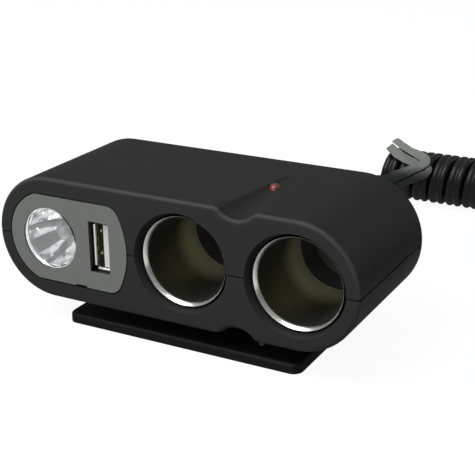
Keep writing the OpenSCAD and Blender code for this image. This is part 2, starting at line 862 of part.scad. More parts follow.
// Washer under the spring, with a tab that passes through the cup's floor to the bus bar
module terminal_tab(x, grow) {
    block([x - tab_w / 2 - grow, cup_floor_y - terminal_t, bus_z - terminal_t - grow],
        [x + tab_w / 2 + grow, cup_back_y + bus_gap + bus_t + grow, bus_z + grow]);
}

module spring_terminal(x) {
    color("#c9a45c") translate([0, 0, seam_z]) {
        ring_y(x, 0, cup_floor_y - terminal_t, cup_floor_y, terminal_r, stem_bore_r + loose);
        block([x - tab_w / 2, cup_floor_y - terminal_t, terminal_r - cut],
            [x + tab_w / 2, cup_floor_y, bus_z]);
        terminal_tab(x, 0);
    }
}

// A wire wound into a helix along Y between two faces, one unbroken tube of six sides
function helix_point(x, z, y0, y1, r, turns, share) =
    [x + r * cos(360 * turns * share), y0 + (y1 - y0) * share, z + r * sin(360 * turns * share)];

module coil_spring(x, z, y0, y1, r, wire, turns) {
    steps = turns * 8;
    route = [for (i = [0 : steps]) helix_point(x, z, y0 + wire / 2, y1 - wire / 2, r, turns, i / steps)];
    away = [for (i = [0 : steps]) [cos(360 * turns * i / steps), 0, sin(360 * turns * i / steps)]];
    swept(route, away, [for (k = [0 : 5]) wire / 2 * [cos(60 * k), sin(60 * k)]]);
}

module contact_spring(x) {
    color("#8f8f86") translate([0, 0, seam_z])
        coil_spring(x, 0, contact_y + contact_t, cup_floor_y - terminal_t, spring_r, spring_wire,
            spring_turns);
}

module positive_bus_bar() {
    y0 = cup_back_y + bus_gap;
    color("#b98a4e") translate([0, 0, seam_z]) difference() {
        block([left_x - bus_over, y0, bus_z - bus_h / 2],
            [right_x + bus_over, y0 + bus_t, bus_z + bus_h / 2]);
        for (x = [left_x, right_x]) terminal_tab(x, running);
    }
}

module ground_strap() {
    color("#c4a35a") translate([0, 0, seam_z])
        block([left_x - strap_over, strap_y, -tube_r - strap_t],
            [right_x + strap_over, strap_y + strap_w, -tube_r]);
}

// An insulated wire through its points, eight-sided; away is any direction that it never runs in
module wire_run(points, r, away) {
    swept(points, [for (p = points) away], [for (k = [0 : 7]) r * [cos(45 * k), sin(45 * k)]]);
}

sideways = [1, 0, 0];
upwards = [0, 0, 1];

// Faces that the inner wires start from and end on
wire_in_y = cavity_back_y - relief_flange_t - running;
bus_mid_y = cup_back_y + bus_gap + bus_t / 2;
bus_front_y = cup_back_y + bus_gap;
bus_end_x = left_x - bus_over;
strap_mid_y = strap_y + strap_w / 2;
strap_end_x = left_x - strap_over;
strap_mid_z = -tube_r - strap_t / 2;
leg_z = led_top_z - wall - snug - led_flange_t - led_leg_l;
board_left_x = board_right_x - board_t;
torch_back_y = torch_board_y + torch_board_t;

module positive_wires() {
    up_x = relief_x + cord_t / 2;
    led_x = drop_x - thin_wire_r;
    led_z = bus_z + 1.4;
    color("#8e1b1b") translate([0, 0, seam_z]) {
        wire_run([[up_x, wire_in_y, 0], [up_x, bus_mid_y, 1.4],
            [up_x, bus_mid_y, bus_z - bus_h / 2]], wire_r, sideways);
        wire_run([[bus_end_x, bus_mid_y, bus_z], [bus_end_x - 3, bus_mid_y + 0.4, bus_z],
            [board_right_x + wire_step, bus_mid_y + 0.4, bus_z],
            [board_right_x + wire_step / 2, board_back_y - 1.4, bus_z],
            [board_right_x, board_back_y - 1.4, bus_z]], thin_wire_r, upwards);
        wire_run([[waist_x + led_leg_gap, 0, leg_z], [led_x, led_wire_bend, led_z],
            [led_x, bus_front_y - led_wire_bend, led_z],
            [led_x, bus_front_y, led_z]], thin_wire_r, sideways);
        wire_run([[torch_x + torch_wire_x, torch_back_y, torch_wire_z],
            [torch_x + torch_wire_x, torch_back_y + wire_step, torch_wire_z],
            [board_left_x, torch_back_y + wire_step, torch_wire_z]], thin_wire_r, upwards);
    }
}

module ground_wires() {
    down_x = relief_x - cord_t / 2;
    drop_z = -cup_r + 1.4;
    switch_y = cavity_back_y - running - switch_d;
    color("#141414") translate([0, 0, seam_z]) {
        wire_run([[down_x, wire_in_y, 0], [down_x + 0.6, wire_in_y - 1, -3],
            [drop_x, wire_in_y - 1.2, drop_z],
            [drop_x, strap_mid_y, drop_z], [drop_x, strap_mid_y, -tube_r]], wire_r, sideways);
        wire_run([[strap_end_x, strap_mid_y, strap_mid_z],
            [board_right_x + wire_step, strap_mid_y + 2, strap_mid_z],
            [board_right_x, strap_mid_y + 2, strap_mid_z]], thin_wire_r, upwards);
        wire_run([[waist_x - led_leg_gap, 0, leg_z], [waist_x - led_leg_gap, strap_mid_y, 2],
            [waist_x - led_leg_gap, strap_mid_y, -tube_r]], thin_wire_r, sideways);
        wire_run([[torch_x + torch_wire_x, torch_back_y, -torch_wire_z],
            [torch_x + torch_wire_x, torch_back_y + wire_step, -torch_wire_z],
            [board_left_x, torch_back_y + wire_step, -torch_wire_z]], thin_wire_r, upwards);
        wire_run([[torch_x + switch_wire_x * 2 / 5, switch_y, 0],
            [torch_x + switch_wire_x, switch_y - switch_wire_y, 0],
            [board_left_x, switch_y - switch_wire_y, 0]], thin_wire_r, upwards);
    }
}

module indicator_led() {
    z = led_top_z - wall - snug;
    color("#b0201c") translate([waist_x, 0, seam_z]) {
        translate([0, 0, led_top_z + led_stand - led_r]) sphere(led_r);
        translate([0, 0, z - led_flange_t])
            cylinder(h = led_top_z + led_stand - led_r - z + led_flange_t, r = led_r);
        translate([0, 0, z - led_flange_t]) cylinder(h = led_flange_t, r = led_flange_r);
    }
}

module indicator_led_legs() {
    z = led_top_z - wall - snug - led_flange_t;
    color("#bfc3c7") translate([waist_x, 0, seam_z]) for (side = [-1, 1])
        translate([side * led_leg_gap - led_leg / 2, -led_leg / 2, z - led_leg_l])
            cube([led_leg, led_leg, led_leg_l]);
}

// A plate with rounded corners and a fillet round its top edge
module rounded_plate(l, w, t, corner, fillet) {
    for (sx = [-1, 1]) for (sy = [-1, 1])
        translate([sx * (l / 2 - corner), sy * (w / 2 - corner), 0]) rotate_extrude() {
            square([corner - fillet, t]);
            square([corner, t - fillet]);
            translate([corner - fillet, t - fillet]) circle(fillet);
        }
    translate([0, 0, 0]) rotate([90, 0, 90]) linear_extrude(l - 2 * corner, center = true)
        plate_section(w / 2, t, fillet);
    rotate([90, 0, 0]) linear_extrude(w - 2 * corner, center = true) plate_section(l / 2, t, fillet);
}

module plate_section(half, t, fillet) {
    translate([-half, 0]) square([2 * half, t - fillet]);
    translate([-half + fillet, 0]) square([2 * (half - fillet), t]);
    for (side = [-1, 1]) translate([side * (half - fillet), t - fillet]) circle(fillet);
}

module base_plate() {
    color("#2e2e2e") translate([swivel_x, 0, 0]) difference() {
        union() {
            rounded_plate(base_l, base_w, base_t, base_corner_r, base_fillet);
            cylinder(h = housing_bottom_z - washer_t - running, r = turntable_r);
        }
        translate([-base_l / 2 + pad_rim, -base_w / 2 + pad_rim, -cut])
            cube([base_l - 2 * pad_rim, base_w - 2 * pad_rim, pad_t + cut]);
        cylinder(h = pad_t + pivot_head_h + snug + running, r = pivot_head_r + loose);
        cylinder(h = housing_bottom_z, r = shoulder_r + running);
    }
}

module adhesive_pad() {
    gap = pad_rim + snug;
    color("#4a4d4a") translate([swivel_x, 0, 0]) difference() {
        translate([-base_l / 2 + gap, -base_w / 2 + gap, 0])
            cube([base_l - 2 * gap, base_w - 2 * gap, pad_t]);
        translate([0, 0, -cut]) cylinder(h = pad_t + 2 * cut, r = pivot_head_r + loose);
    }
}

module pivot_screw() {
    head_z = pad_t + snug;
    color("#a0a0a0") translate([swivel_x, 0, 0]) difference() {
        union() {
            translate([0, 0, head_z]) cylinder(h = pivot_head_h, r = pivot_head_r);
            translate([0, 0, head_z]) cylinder(h = housing_bottom_z - head_z, r = shoulder_r);
            cylinder_from = housing_bottom_z - snug;
            translate([0, 0, cylinder_from]) cylinder(h = insert_l, r = pivot_thread_r);
        }
        for (turn = [0, 90]) rotate([0, 0, turn])
            translate([-shoulder_r, -screw_r / 4, head_z - cut])
                cube([2 * shoulder_r, screw_r / 2, cut + pivot_head_h / 2]);
    }
}

module pivot_washer() {
    color("#b0b2b4") translate([swivel_x, 0, housing_bottom_z - washer_t]) difference() {
        cylinder(h = washer_t, r = washer_r);
        translate([0, 0, -cut]) cylinder(h = washer_t + 2 * cut, r = shoulder_r + running);
    }
}

module pivot_insert() {
    color("#b5964a") translate([swivel_x, 0, housing_bottom_z]) difference() {
        cylinder(h = insert_l, r = insert_r);
        translate([0, 0, -cut]) cylinder(h = insert_l + 2 * cut, r = pivot_thread_r + running / 2);
    }
}

// Strain relief: flange inside, neck in the wall, collar outside and a ribbed, tapering sleeve
module relief_profile(inner_l, inner_r, neck_l, neck_r, collar, sleeve_l, r_big, r_small, ribs) {
    step = (sleeve_l - collar) / (2 * ribs);
    square([inner_r, inner_l]);
    square([neck_r, inner_l + neck_l + snug]);
    translate([0, inner_l + neck_l]) square([r_big + snug * 4, collar]);
    translate([0, inner_l + neck_l + collar - snug])
        polygon([[0, 0], [r_big * 0.8, 0], [r_small - snug * 4, sleeve_l - collar + snug],
            [0, sleeve_l - collar + snug]]);
    for (i = [0 : ribs - 1])
        translate([0, inner_l + neck_l + collar + (2 * i + 1) * step])
            square([r_big + (r_small - r_big) * (2 * i + 1) / (2 * ribs), step]);
}

module cord_strain_relief() {
    color("#202020") translate([0, 0, seam_z])
        turned_y(relief_x, 0, cavity_back_y - relief_flange_t - running)
            relief_profile(relief_flange_t, relief_flange_r, wall + 2 * running, relief_neck_r,
                relief_flange_t, relief_l - running, relief_r, relief_tip_r, relief_ribs);
}

// Sections of the lead: two round cores joined by a web, and a coarser one for the turns
lead_section = [
    [cord_w / 2, 0], [cord_t / 2, cord_t / 2], [0, cord_t / 4], [-cord_t / 2, cord_t / 2],
    [-cord_w / 2, 0], [-cord_t / 2, -cord_t / 2], [0, -cord_t / 4], [cord_t / 2, -cord_t / 2]
];
wrap_section = [
    [cord_w / 2, 0], [cord_t / 2, cord_t / 2], [-cord_t / 2, cord_t / 2],
    [-cord_w / 2, 0], [-cord_t / 2, -cord_t / 2], [cord_t / 2, -cord_t / 2]
];

function unit(v) = v / norm(v);
function heading(route, i) =
    unit(route[min(i + 1, len(route) - 1)] - route[max(i - 1, 0)]);
function squared(away, along) = unit(away - (away * along) * along);

// A tube of one section along a route; away[i] is the side that the section's second axis faces
function ring(route, away, section, i) =
    let (along = heading(route, i), up = squared(away[i], along), side = cross(along, up))
    [for (p = section) route[i] + p[0] * side + p[1] * up];
function tube_points(route, away, section) =
    [for (i = [0 : len(route) - 1]) each ring(route, away, section, i)];

module swept(route, away, section) {
    n = len(section);
    last = (len(route) - 1) * n;
    points = tube_points(route, away, section);
    sides = [for (i = [0 : len(route) - 2]) for (k = [0 : n - 1])
        let (a = i * n + k, b = i * n + (k + 1) % n) each [[a, b, b + n], [a, b + n, a + n]]];
    first_cap = [for (k = [0 : n - 3]) [2, (2 + k + 2) % n, (2 + k + 1) % n]];
    last_cap = [for (k = [0 : n - 3]) [last + 2, last + (2 + k + 1) % n, last + (2 + k + 2) % n]];
    polyhedron(points, concat(sides, first_cap, last_cap));
}

module laid_lead(route) {
    swept(route, [for (p = route) [0, 0, 1]], lead_section);
}

module cord_lead() {
    color("#2a2a2a") laid_lead(lead_route);
}

module cord_tail() {
    color("#2a2a2a") laid_lead(tail_route);
}

// The outer turns of the bundle, from below the left end to below the right end
wrap_steps = wrap_turns * wrap_rings;
function wrap_angle(share) = -90 - 360 * wrap_turns * share;
function wrap_away(share) = [0, cos(wrap_angle(share)), sin(wrap_angle(share))];
function wrap_point(share) =
    [bundle_x + wrap_pitch * wrap_turns * share, bundle_y, bundle_z] + wrap_mean_r * wrap_away(share);
wrap_route = concat(
    [wrap_point(0) + [0, cord_w, 0]],
    [for (i = [0 : wrap_steps]) wrap_point(i / wrap_steps)],
    [wrap_point(1) - [0, cord_w, 0]]
);
wrap_sides = concat([wrap_away(0)], [for (i = [0 : wrap_steps]) wrap_away(i / wrap_steps)],
    [wrap_away(1)]);

// Least distance between the points of one turn and those of the next
wrap_gap = let (rings = [for (i = [0 : 3 * wrap_rings])
        ring(wrap_route, wrap_sides, wrap_section, i + 1)])
    min([for (i = [0 : 2 * wrap_rings - 2]) for (j = [i + wrap_rings - 2 : i + wrap_rings + 2])
        for (a = rings[i]) for (b = rings[j]) norm(a - b)]);
echo(least_gap_between_turns = wrap_gap);

module cord_hank() {
    l = wrap_pitch * wrap_turns + 2 * bundle_over;
    color("#2a2a2a") {
        swept(wrap_route, wrap_sides, wrap_section);
        translate([bundle_x - bundle_over, bundle_y, bundle_z]) rotate([0, 90, 0]) rotate_extrude() {
            square([core_r - core_round, l]);
            translate([0, core_round]) square([core_r, l - 2 * core_round]);
            for (y = [core_round, l - core_round]) translate([core_r - core_round, y]) circle(core_round);
        }
    }
}

// Twist tie: one flat strip, looped through the bundle's left end and crossed over its front.
// Each row is X, the angle round the bundle (0 at the front, 90 on top) and the height off its surface.
tie_rows = [
    [7.4, 82, 3.6], [9.6, 81, 2.4], [12.6, 75, 1.5], [15.4, 70, 1.3], [17.6, 64.5, 1.3], [18.8, 57, 1.3],
    [18.8, 49, 1.3], [17.4, 41, 1.3], [14.8, 30, 1.3], [12, 20, 1.3], [9.2, 10, 1.2], [6.6, 1, 0.8],
    [4, -8, 0], [2, -16, -1], [1.2, -26, -1.4], [1.6, -36, -1], [3.4, -38, -0.2], [6.4, -29, 0.4],
    [9.8, -16, 0.5], [13.2, -3, 0.5], [16, 8, 0.5], [18.2, 14.5, 0.5], [19.5, 20.5, 0.5],
    [19.6, 27.5, 0.5], [18.4, 33.5, 0.5], [16.2, 37.5, 0.5], [13.6, 42.5, 0.6], [11, 50, 0.9],
    [8.4, 58, 1.5], [6, 68, 2.2], [4.2, 76, 2.9]
];
function tie_away(row) = [0, -cos(row[1]), sin(row[1])];
function tie_spot(row) = [row[0], bundle_y, bundle_z] + (wrap_r + row[2]) * tie_away(row);
tie_route = [for (row = tie_rows) tie_spot(row)];
tie_sides = [for (row = tie_rows) tie_away(row)];
tie_section = [[tie_w / 2, -tie_t / 2], [tie_w / 2, tie_t / 2], [-tie_w / 2, tie_t / 2],
    [-tie_w / 2, -tie_t / 2]];

module twist_tie() {
    color("#8d918e") swept(tie_route, tie_sides, tie_section);
}

// Plug parts lie along Y from the cord at the back to the tip in front
module plug_strain_relief() {
    color("#202020") translate([plug_x, plug_back_y + plug_relief_l, plug_z]) rotate([90, 0, 0])
        mirror([0, 0, 1])
        translate([0, 0, -plug_relief_l - plug_wall - running - relief_flange_t]) rotate_extrude()
            relief_profile(relief_flange_t, plug_relief_r + 0.6, plug_wall + 2 * running,
                plug_relief_neck_r,
                relief_flange_t, plug_relief_l - running, plug_relief_r, plug_relief_tip_r, relief_ribs);
}

module plug_profile() {
    translate([0, 0]) square([grip_r - cut, grip_l]);
    translate([0, cut]) square([grip_r, grip_l - 2 * cut]);
    for (y = [cut, grip_l - cut]) translate([grip_r - cut, y]) circle(cut);
    square([barrel_r, grip_l + barrel_l]);
}

module plug_bore_profile() {
    translate([0, plug_wall]) square([grip_r - plug_wall, grip_l - 2 * plug_wall]);
    translate([0, plug_wall]) square([barrel_r - plug_wall, grip_l + barrel_l - plug_wall + cut]);
}

// What stands inside the plug's half shells: the fuse's guide, the rear contact's stop
// and the screw's boss
module plug_fittings() {
    ring_y(plug_x, plug_z, fuse_guide_y, fuse_guide_y + plug_rib, barrel_r - plug_wall + snug,
        fuse_r + loose);
    ring_y(plug_x, plug_z, rear_contact_y + rear_contact_t, rear_contact_y + rear_contact_t + plug_rib,
        grip_r - plug_wall + snug, barrel_r - 2 * plug_wall);
    translate([plug_x, plug_screw_y, plug_z - grip_r + plug_wall - snug])
        cylinder(h = 2 * (grip_r - plug_wall + snug), r = boss_r);
}

module turned_plug() {
    translate([plug_x, plug_back_y, plug_z]) rotate([90, 0, 0]) rotate_extrude() children();
}

// A bowed strip of spring steel on the side of the barrel; side is -1 or 1
bow_sag = side_spring_stand + side_spring_t + 0.6;
bow_radius = (side_spring_l * side_spring_l / 4 + bow_sag * bow_sag) / (2 * bow_sag);
side_spring_y = barrel_y - barrel_l / 2;

module side_spring(side) {
    edge = barrel_r + side_spring_stand;
    translate([plug_x + side * (edge - bow_radius), side_spring_y, plug_z - side_spring_w / 2])
        intersection() {
        difference() {
            cylinder(h = side_spring_w, r = bow_radius);
            translate([0, 0, -cut]) cylinder(h = side_spring_w + 2 * cut, r = bow_radius - side_spring_t);
        }
        translate([side > 0 ? 0 : -2 * bow_radius, -side_spring_l / 2, -cut])
            cube([2 * bow_radius, side_spring_l, side_spring_w + 2 * cut]);
    }
}

module plug_shell_whole() {
    difference() {
        union() {
            turned_plug() plug_profile();
        }
        difference() {
            turned_plug() plug_bore_profile();
            plug_fittings();
        }
        round_y(plug_x, plug_z, plug_back_y - plug_wall - cut, plug_back_y + cut,
            plug_relief_neck_r + running);
        for (i = [0 : grip_grooves - 1])
            for (side = [-1, 1])
                translate([plug_x + side * (grip_r + grip_groove_r / 3),
                    barrel_y + cut + (i + 1) * (grip_l - 2 * cut) / (grip_grooves + 1), plug_z])
                    cylinder(h = grip_r, r = grip_groove_r, center = true);
        for (side = [-1, 1]) {
            low = side > 0 ? barrel_r - plug_wall - cut : -barrel_r - cut;
            block([plug_x + low, side_spring_y - side_spring_l / 2 - loose,
                plug_z - side_spring_w / 2 - loose],
                [plug_x + low + plug_wall + 2 * cut, side_spring_y + side_spring_l / 2 + loose,
                    plug_z + side_spring_w / 2 + loose]);
        }
        ring_y(plug_x, plug_z, nose_y - cut, nose_y + plug_skirt, barrel_r + cut,
            barrel_r - plug_wall / 2);
    }
}

module plug_shell_upper() {
    color("#262626") difference() {
        intersection() {
            plug_shell_whole();
            block([plug_x - grip_r - cut, nose_end_y, plug_z],
                [plug_x + grip_r + cut, plug_back_y + cut, plug_z + grip_r + cut]);
        }
        translate([plug_x, plug_screw_y, plug_z - cut])
            cylinder(h = plug_screw_l + plug_screw_seat - grip_r + 2 * cut, r = screw_r + running / 2);
    }
}

module plug_shell_lower() {
    color("#242424") difference() {
        intersection() {
            plug_shell_whole();
            block([plug_x - grip_r - cut, nose_end_y, plug_z - grip_r - cut],
                [plug_x + grip_r + cut, plug_back_y + cut, plug_z]);
        }
        translate([plug_x, plug_screw_y, -cut]) {
            cylinder(h = grip_r + 2 * cut, r = screw_r + loose);
            cylinder(h = plug_screw_seat + cut, r = screw_head_r + snug);
        }
    }
}

module plug_screw() {
    color("#8c8c8c") translate([plug_x, plug_screw_y, plug_screw_seat]) difference() {
        union() {
            cylinder(h = plug_screw_l, r = screw_r);
            translate([0, 0, -screw_head_h]) cylinder(h = screw_head_h, r = screw_head_r);
        }
        for (turn = [0, 90]) rotate([0, 0, turn]) screw_slot();
    }
}

module plug_nose_cap() {
    color("#2a2a2a") difference() {
        translate([plug_x, nose_y, plug_z]) rotate([90, 0, 0]) rotate_extrude() {
            polygon([[0, 0], [barrel_r, 0], [barrel_r, nose_l / 3],
                [tip_flange_r + plug_wall, nose_l], [0, nose_l]]);
            translate([barrel_r - plug_wall / 2 + running, running - plug_skirt])
                square([plug_wall / 2 - running, plug_skirt]);
        }
        round_y(plug_x, plug_z, nose_end_y - cut, nose_y + cut, tip_r + loose);
        round_y(plug_x, plug_z, nose_end_y + plug_wall, nose_y + cut, tip_flange_r + loose);
    }
}

module plug_tip() {
    color("#c8c4b4") {
        round_y(plug_x, plug_z, nose_end_y - tip_out + tip_r,
            nose_end_y + plug_wall + tip_flange_t + running, tip_r);
        translate([plug_x, nose_end_y - tip_out + tip_r, plug_z]) sphere(tip_r);
        round_y(plug_x, plug_z, nose_end_y + plug_wall + running,
            nose_end_y + plug_wall + running + tip_flange_t, tip_flange_r);
    }
}

module plug_fuse() {
    y0 = nose_end_y + plug_wall + running + tip_flange_t;
    color("#cfd3d0") {
        round_y(plug_x, plug_z, y0, y0 + fuse_cap_l, fuse_r);
        round_y(plug_x, plug_z, y0 + fuse_cap_l, y0 + fuse_l - fuse_cap_l, fuse_r - snug);
        round_y(plug_x, plug_z, y0 + fuse_l - fuse_cap_l, y0 + fuse_l, fuse_r);
    }
}

module plug_tip_spring() {
    color("#8f8f86") coil_spring(plug_x, plug_z, fuse_end_y, rear_contact_y, plug_spring_r,
        spring_wire, plug_spring_turns);
}

module plug_rear_contact() {
    color("#c4a35a") intersection() {
        round_y(plug_x, plug_z, rear_contact_y, rear_contact_y + rear_contact_t,
            grip_r - plug_wall - running);
        block([plug_x - grip_r, nose_y, plug_z - rear_contact_half],
            [plug_x + grip_r, plug_back_y, plug_z + rear_contact_half]);
    }
}

// Brass band under the side springs
module plug_ground_ring() {
    r = barrel_r - plug_wall - running;
    y0 = side_spring_y - ground_ring_w / 2;
    color("#c4a35a") ring_y(plug_x, plug_z, y0, y0 + ground_ring_w, r, r - ground_ring_t);
}

module plug_wires() {
    y0 = plug_back_y - plug_wall - running - relief_flange_t;
    ring_back_y = side_spring_y + ground_ring_w / 2;
    side = boss_r + 2 * wire_r;
    over_x = plug_x - wire_r * 2;
    over_z = plug_z + rear_contact_half + 1;
    color("#7c1f1f") {
        wire_run([[plug_x + cord_t / 2, y0, plug_z], [plug_x + side, y0 - 3, plug_z],
            [plug_x + side, rear_contact_y + rear_contact_t, plug_z]], wire_r, upwards);
        wire_run([[plug_x - cord_t / 2, y0, plug_z], [plug_x - side, y0 - 3, plug_z],
            [plug_x - side, plug_screw_y - boss_r - 2, plug_z + 1], [over_x, rear_contact_y + 2, over_z],
            [over_x, rear_contact_y - 1, over_z],
            [over_x, ring_back_y, plug_z + barrel_r - plug_wall - 0.5]], thin_wire_r, upwards);
    }
}

top_shell();
bottom_shell();
housing_screws();
front_bezel();
torch_lens();
torch_reflector();
torch_led();
torch_board();
torch_switch_case();
torch_switch_slider();
usb_shell();
usb_tongue();
usb_contacts();
circuit_board();
voltage_regulator();
inductor_coil();
filter_capacitors();
socket_tube(left_x);  // left_socket_tube
socket_tube(right_x);  // right_socket_tube
insulator_cup(left_x);  // left_insulator_cup
insulator_cup(right_x);  // right_insulator_cup
centre_contact(left_x);  // left_centre_contact
centre_contact(right_x);  // right_centre_contact
contact_spring(left_x);  // left_contact_spring
contact_spring(right_x);  // right_contact_spring
contact_clip(left_x);  // left_contact_clip
contact_clip(right_x);  // right_contact_clip
spring_terminal(left_x);  // left_spring_terminal
spring_terminal(right_x);  // right_spring_terminal
positive_bus_bar();
ground_strap();
positive_wires();
ground_wires();
indicator_led();
indicator_led_legs();
base_plate();
adhesive_pad();
pivot_screw();
pivot_washer();
pivot_insert();
cord_strain_relief();
cord_lead();
cord_hank();
cord_tail();
twist_tie();
plug_strain_relief();
plug_shell_upper();
plug_shell_lower();
plug_screw();
plug_nose_cap();
plug_tip();
plug_fuse();
plug_tip_spring();
plug_rear_contact();
plug_ground_ring();
plug_wires();
side_spring(-1);  // plug_side_spring_left
side_spring(1);  // plug_side_spring_right
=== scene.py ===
# %% [markdown]
# Car power socket splitter, dressed in Blender.
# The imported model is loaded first. It is the fixed frame: every solid of it already has its size,
# its place and the body that it moves with, in metres. What this lesson adds is what the eye asks
# for: the finishes, the soft twin-core lead, the tie round it, the faceted reflector of the torch
# and the rolled and folded metal edges.

# %% Load the frame
import bpy, json, math
import numpy as np
from mathutils import Matrix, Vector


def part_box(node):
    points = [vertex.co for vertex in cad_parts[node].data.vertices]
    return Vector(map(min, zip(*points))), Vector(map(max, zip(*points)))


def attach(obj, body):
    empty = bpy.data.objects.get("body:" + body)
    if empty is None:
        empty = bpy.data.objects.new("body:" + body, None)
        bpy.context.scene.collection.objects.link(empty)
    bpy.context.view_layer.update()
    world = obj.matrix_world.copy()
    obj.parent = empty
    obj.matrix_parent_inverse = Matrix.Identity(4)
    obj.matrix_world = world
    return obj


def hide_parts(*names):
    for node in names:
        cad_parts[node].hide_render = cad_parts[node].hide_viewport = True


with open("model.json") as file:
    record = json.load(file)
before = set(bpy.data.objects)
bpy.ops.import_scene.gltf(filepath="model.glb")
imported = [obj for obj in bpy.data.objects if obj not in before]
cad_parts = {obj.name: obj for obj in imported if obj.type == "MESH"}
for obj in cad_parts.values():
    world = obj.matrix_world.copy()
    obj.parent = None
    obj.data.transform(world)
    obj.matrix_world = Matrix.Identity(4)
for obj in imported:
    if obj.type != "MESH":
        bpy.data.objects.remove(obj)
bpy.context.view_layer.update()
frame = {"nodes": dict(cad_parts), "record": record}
nodes = frame["nodes"]

# %% [markdown]
# The camera comes first, because it decides which details matter and what stays out of view. A
# photograph's camera could be guessed by eye, but here it was worked out: the corners and circles
# of the housing were matched to the picture, which gave a direction, a distance and a focal length.
# A matrix is used rather than a Track To constraint, because the picture is also turned a little in
# its plane.

# %% Camera
azimuth, elevation, roll = (math.radians(a) for a in (28.62, 20.76, -0.55))
target, distance = np.array([0.00857, 0.0, 0.02381]), 0.2787
lens_mm, sensor_mm, nearest = 84.75, 36, 0.01


def own_axes(right, up, back, place):
    """A matrix whose columns are an object's own x, y and z directions, and its place."""
    matrix = np.eye(4)
    matrix[:3] = np.stack([right, up, back, place], axis=1)
    return Matrix(matrix.tolist())


back = np.array([math.sin(azimuth) * math.cos(elevation),
                 -math.cos(azimuth) * math.cos(elevation), math.sin(elevation)])
level_right = np.array([math.cos(azimuth), math.sin(azimuth), 0.0])
level_up = np.cross(back, level_right)
right = level_right * math.cos(roll) + level_up * math.sin(roll)
camera_data = bpy.data.cameras.new("camera")
camera_data.lens, camera_data.sensor_width, camera_data.clip_start = lens_mm, sensor_mm, nearest
camera = bpy.data.objects.new("camera", camera_data)
bpy.context.scene.collection.objects.link(camera)
camera.matrix_world = own_axes(right, np.cross(back, right), back, target + distance * back)
bpy.context.scene.camera = camera
print("camera at", [round(v, 4) for v in target + distance * back])

# %% [markdown]
# Surfaces are worked out as whole arrays. A tube or a strip is a section carried along a path: each
# point of the path gets a frame of three directions, along, wide and thick, and the section is laid
# out in the last two. Blender's curve bevel could do it, but it turns a flat section where the path
# twists, and here the width of the section has to lie flat on the bundle. So the wide direction is
# given along the path and only made square to it.

# %% Helpers for shapes: a smooth path
def gaps(points):
    """The distance from each point to the next."""
    return np.linalg.norm(np.diff(points, axis=0), axis=1)


def ahead_of(path):
    """The path's own direction at each of its points, as a unit vector."""
    along = np.gradient(path, axis=0)
    return along / np.linalg.norm(along, axis=1, keepdims=True)


def smooth_path(points, spacing, finer=8):
    """A cubic through the points: between two of them, position is a cubic in the distance whose
    slope at each point is that of the line from the point before to the point after. Returns even
    steps and each one's place in the list of points. The cubic is worked out in steps this many
    times finer, and then evened out."""
    p = np.array(points, float)
    gap = gaps(p)
    at = np.concatenate([[0], np.cumsum(gap)])
    slope = np.gradient(p, at, axis=0)
    slope[0], slope[-1] = (p[1] - p[0]) / gap[0], (p[-1] - p[-2]) / gap[-1]
    fine = np.linspace(0, at[-1], int(at[-1] / spacing * finer) + 2)
    k = np.clip(np.searchsorted(at, fine, side="right") - 1, 0, len(p) - 2)
    t = ((fine - at[k]) / gap[k])[:, None]
    g = gap[k][:, None]
    curve = ((2 * t**3 - 3 * t**2 + 1) * p[k] + (t**3 - 2 * t**2 + t) * g * slope[k]
             + (-2 * t**3 + 3 * t**2) * p[k + 1] + (t**3 - t**2) * g * slope[k + 1])
    run = np.concatenate([[0], np.cumsum(gaps(curve))])
    even = np.linspace(0, run[-1], int(run[-1] / spacing) + 2)
    place = np.interp(even, run, k + t[:, 0])
    return np.stack([np.interp(even, run, curve[:, i]) for i in range(3)], axis=1), place


corner, _ = smooth_path([(0, 0, 0), (1, 0, 0), (1, 1, 0)], 0.01)
print("a corner of 1 m and 1 m, smoothed, is", round(float(gaps(corner).sum()), 3), "m long")


# %% Helpers for shapes: rings and sections
def ringed_mesh(name, rings, closed=True):
    """Quads between whole rings of points, ring by ring, where point j of ring i is rings[i, j].
    Closed adds those from the last ring back to the first; else both end rings are filled in."""
    count, sides = rings.shape[:2]
    i = np.arange(count if closed else count - 1)[:, None]
    j = np.arange(sides)[None]
    after, beside = (i + 1) % count, (j + 1) % sides
    quads = np.stack([i * sides + j, i * sides + beside, after * sides + beside, after * sides + j],
                     axis=-1)
    first, last = list(range(sides))[::-1], list(range((count - 1) * sides, count * sides))
    ends = [] if closed else [first, last]
    mesh = bpy.data.meshes.new(name)
    mesh.from_pydata(rings.reshape(-1, 3).tolist(), [], quads.reshape(-1, 4).tolist() + ends)
    mesh.shade_smooth()
    mesh.update()
    return mesh


def swept_mesh(name, path, wide, section):
    """The point j of the section (w, h) on ring i is path[i] + w * wide[i] + h * thick[i]: along is
    the path's own direction, thick is along x wide, and wide is what was given with its part along
    the path taken off. A section may also be given ring by ring."""
    along = ahead_of(path)
    wide = wide - (wide * along).sum(1, keepdims=True) * along
    wide /= np.linalg.norm(wide, axis=1, keepdims=True)
    thick = np.cross(along, wide)
    section = np.array(section, float)
    section = np.broadcast_to(section, (len(path), *section.shape[-2:]))
    rings = path[:, None] + section[..., :1] * wide[:, None] + section[..., 1:] * thick[:, None]
    return ringed_mesh(name, rings, closed=False)


own_pieces = []


def new_piece(name, mesh, body, slot):
    """An object at the origin with its place in its mesh, on its body, with the slot that its
    finish comes from."""
    piece = bpy.data.objects.new(name, mesh)
    bpy.context.scene.collection.objects.link(piece)
    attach(piece, body)
    own_pieces.append((piece, slot))
    print(name, len(mesh.polygons), "faces")
    return piece


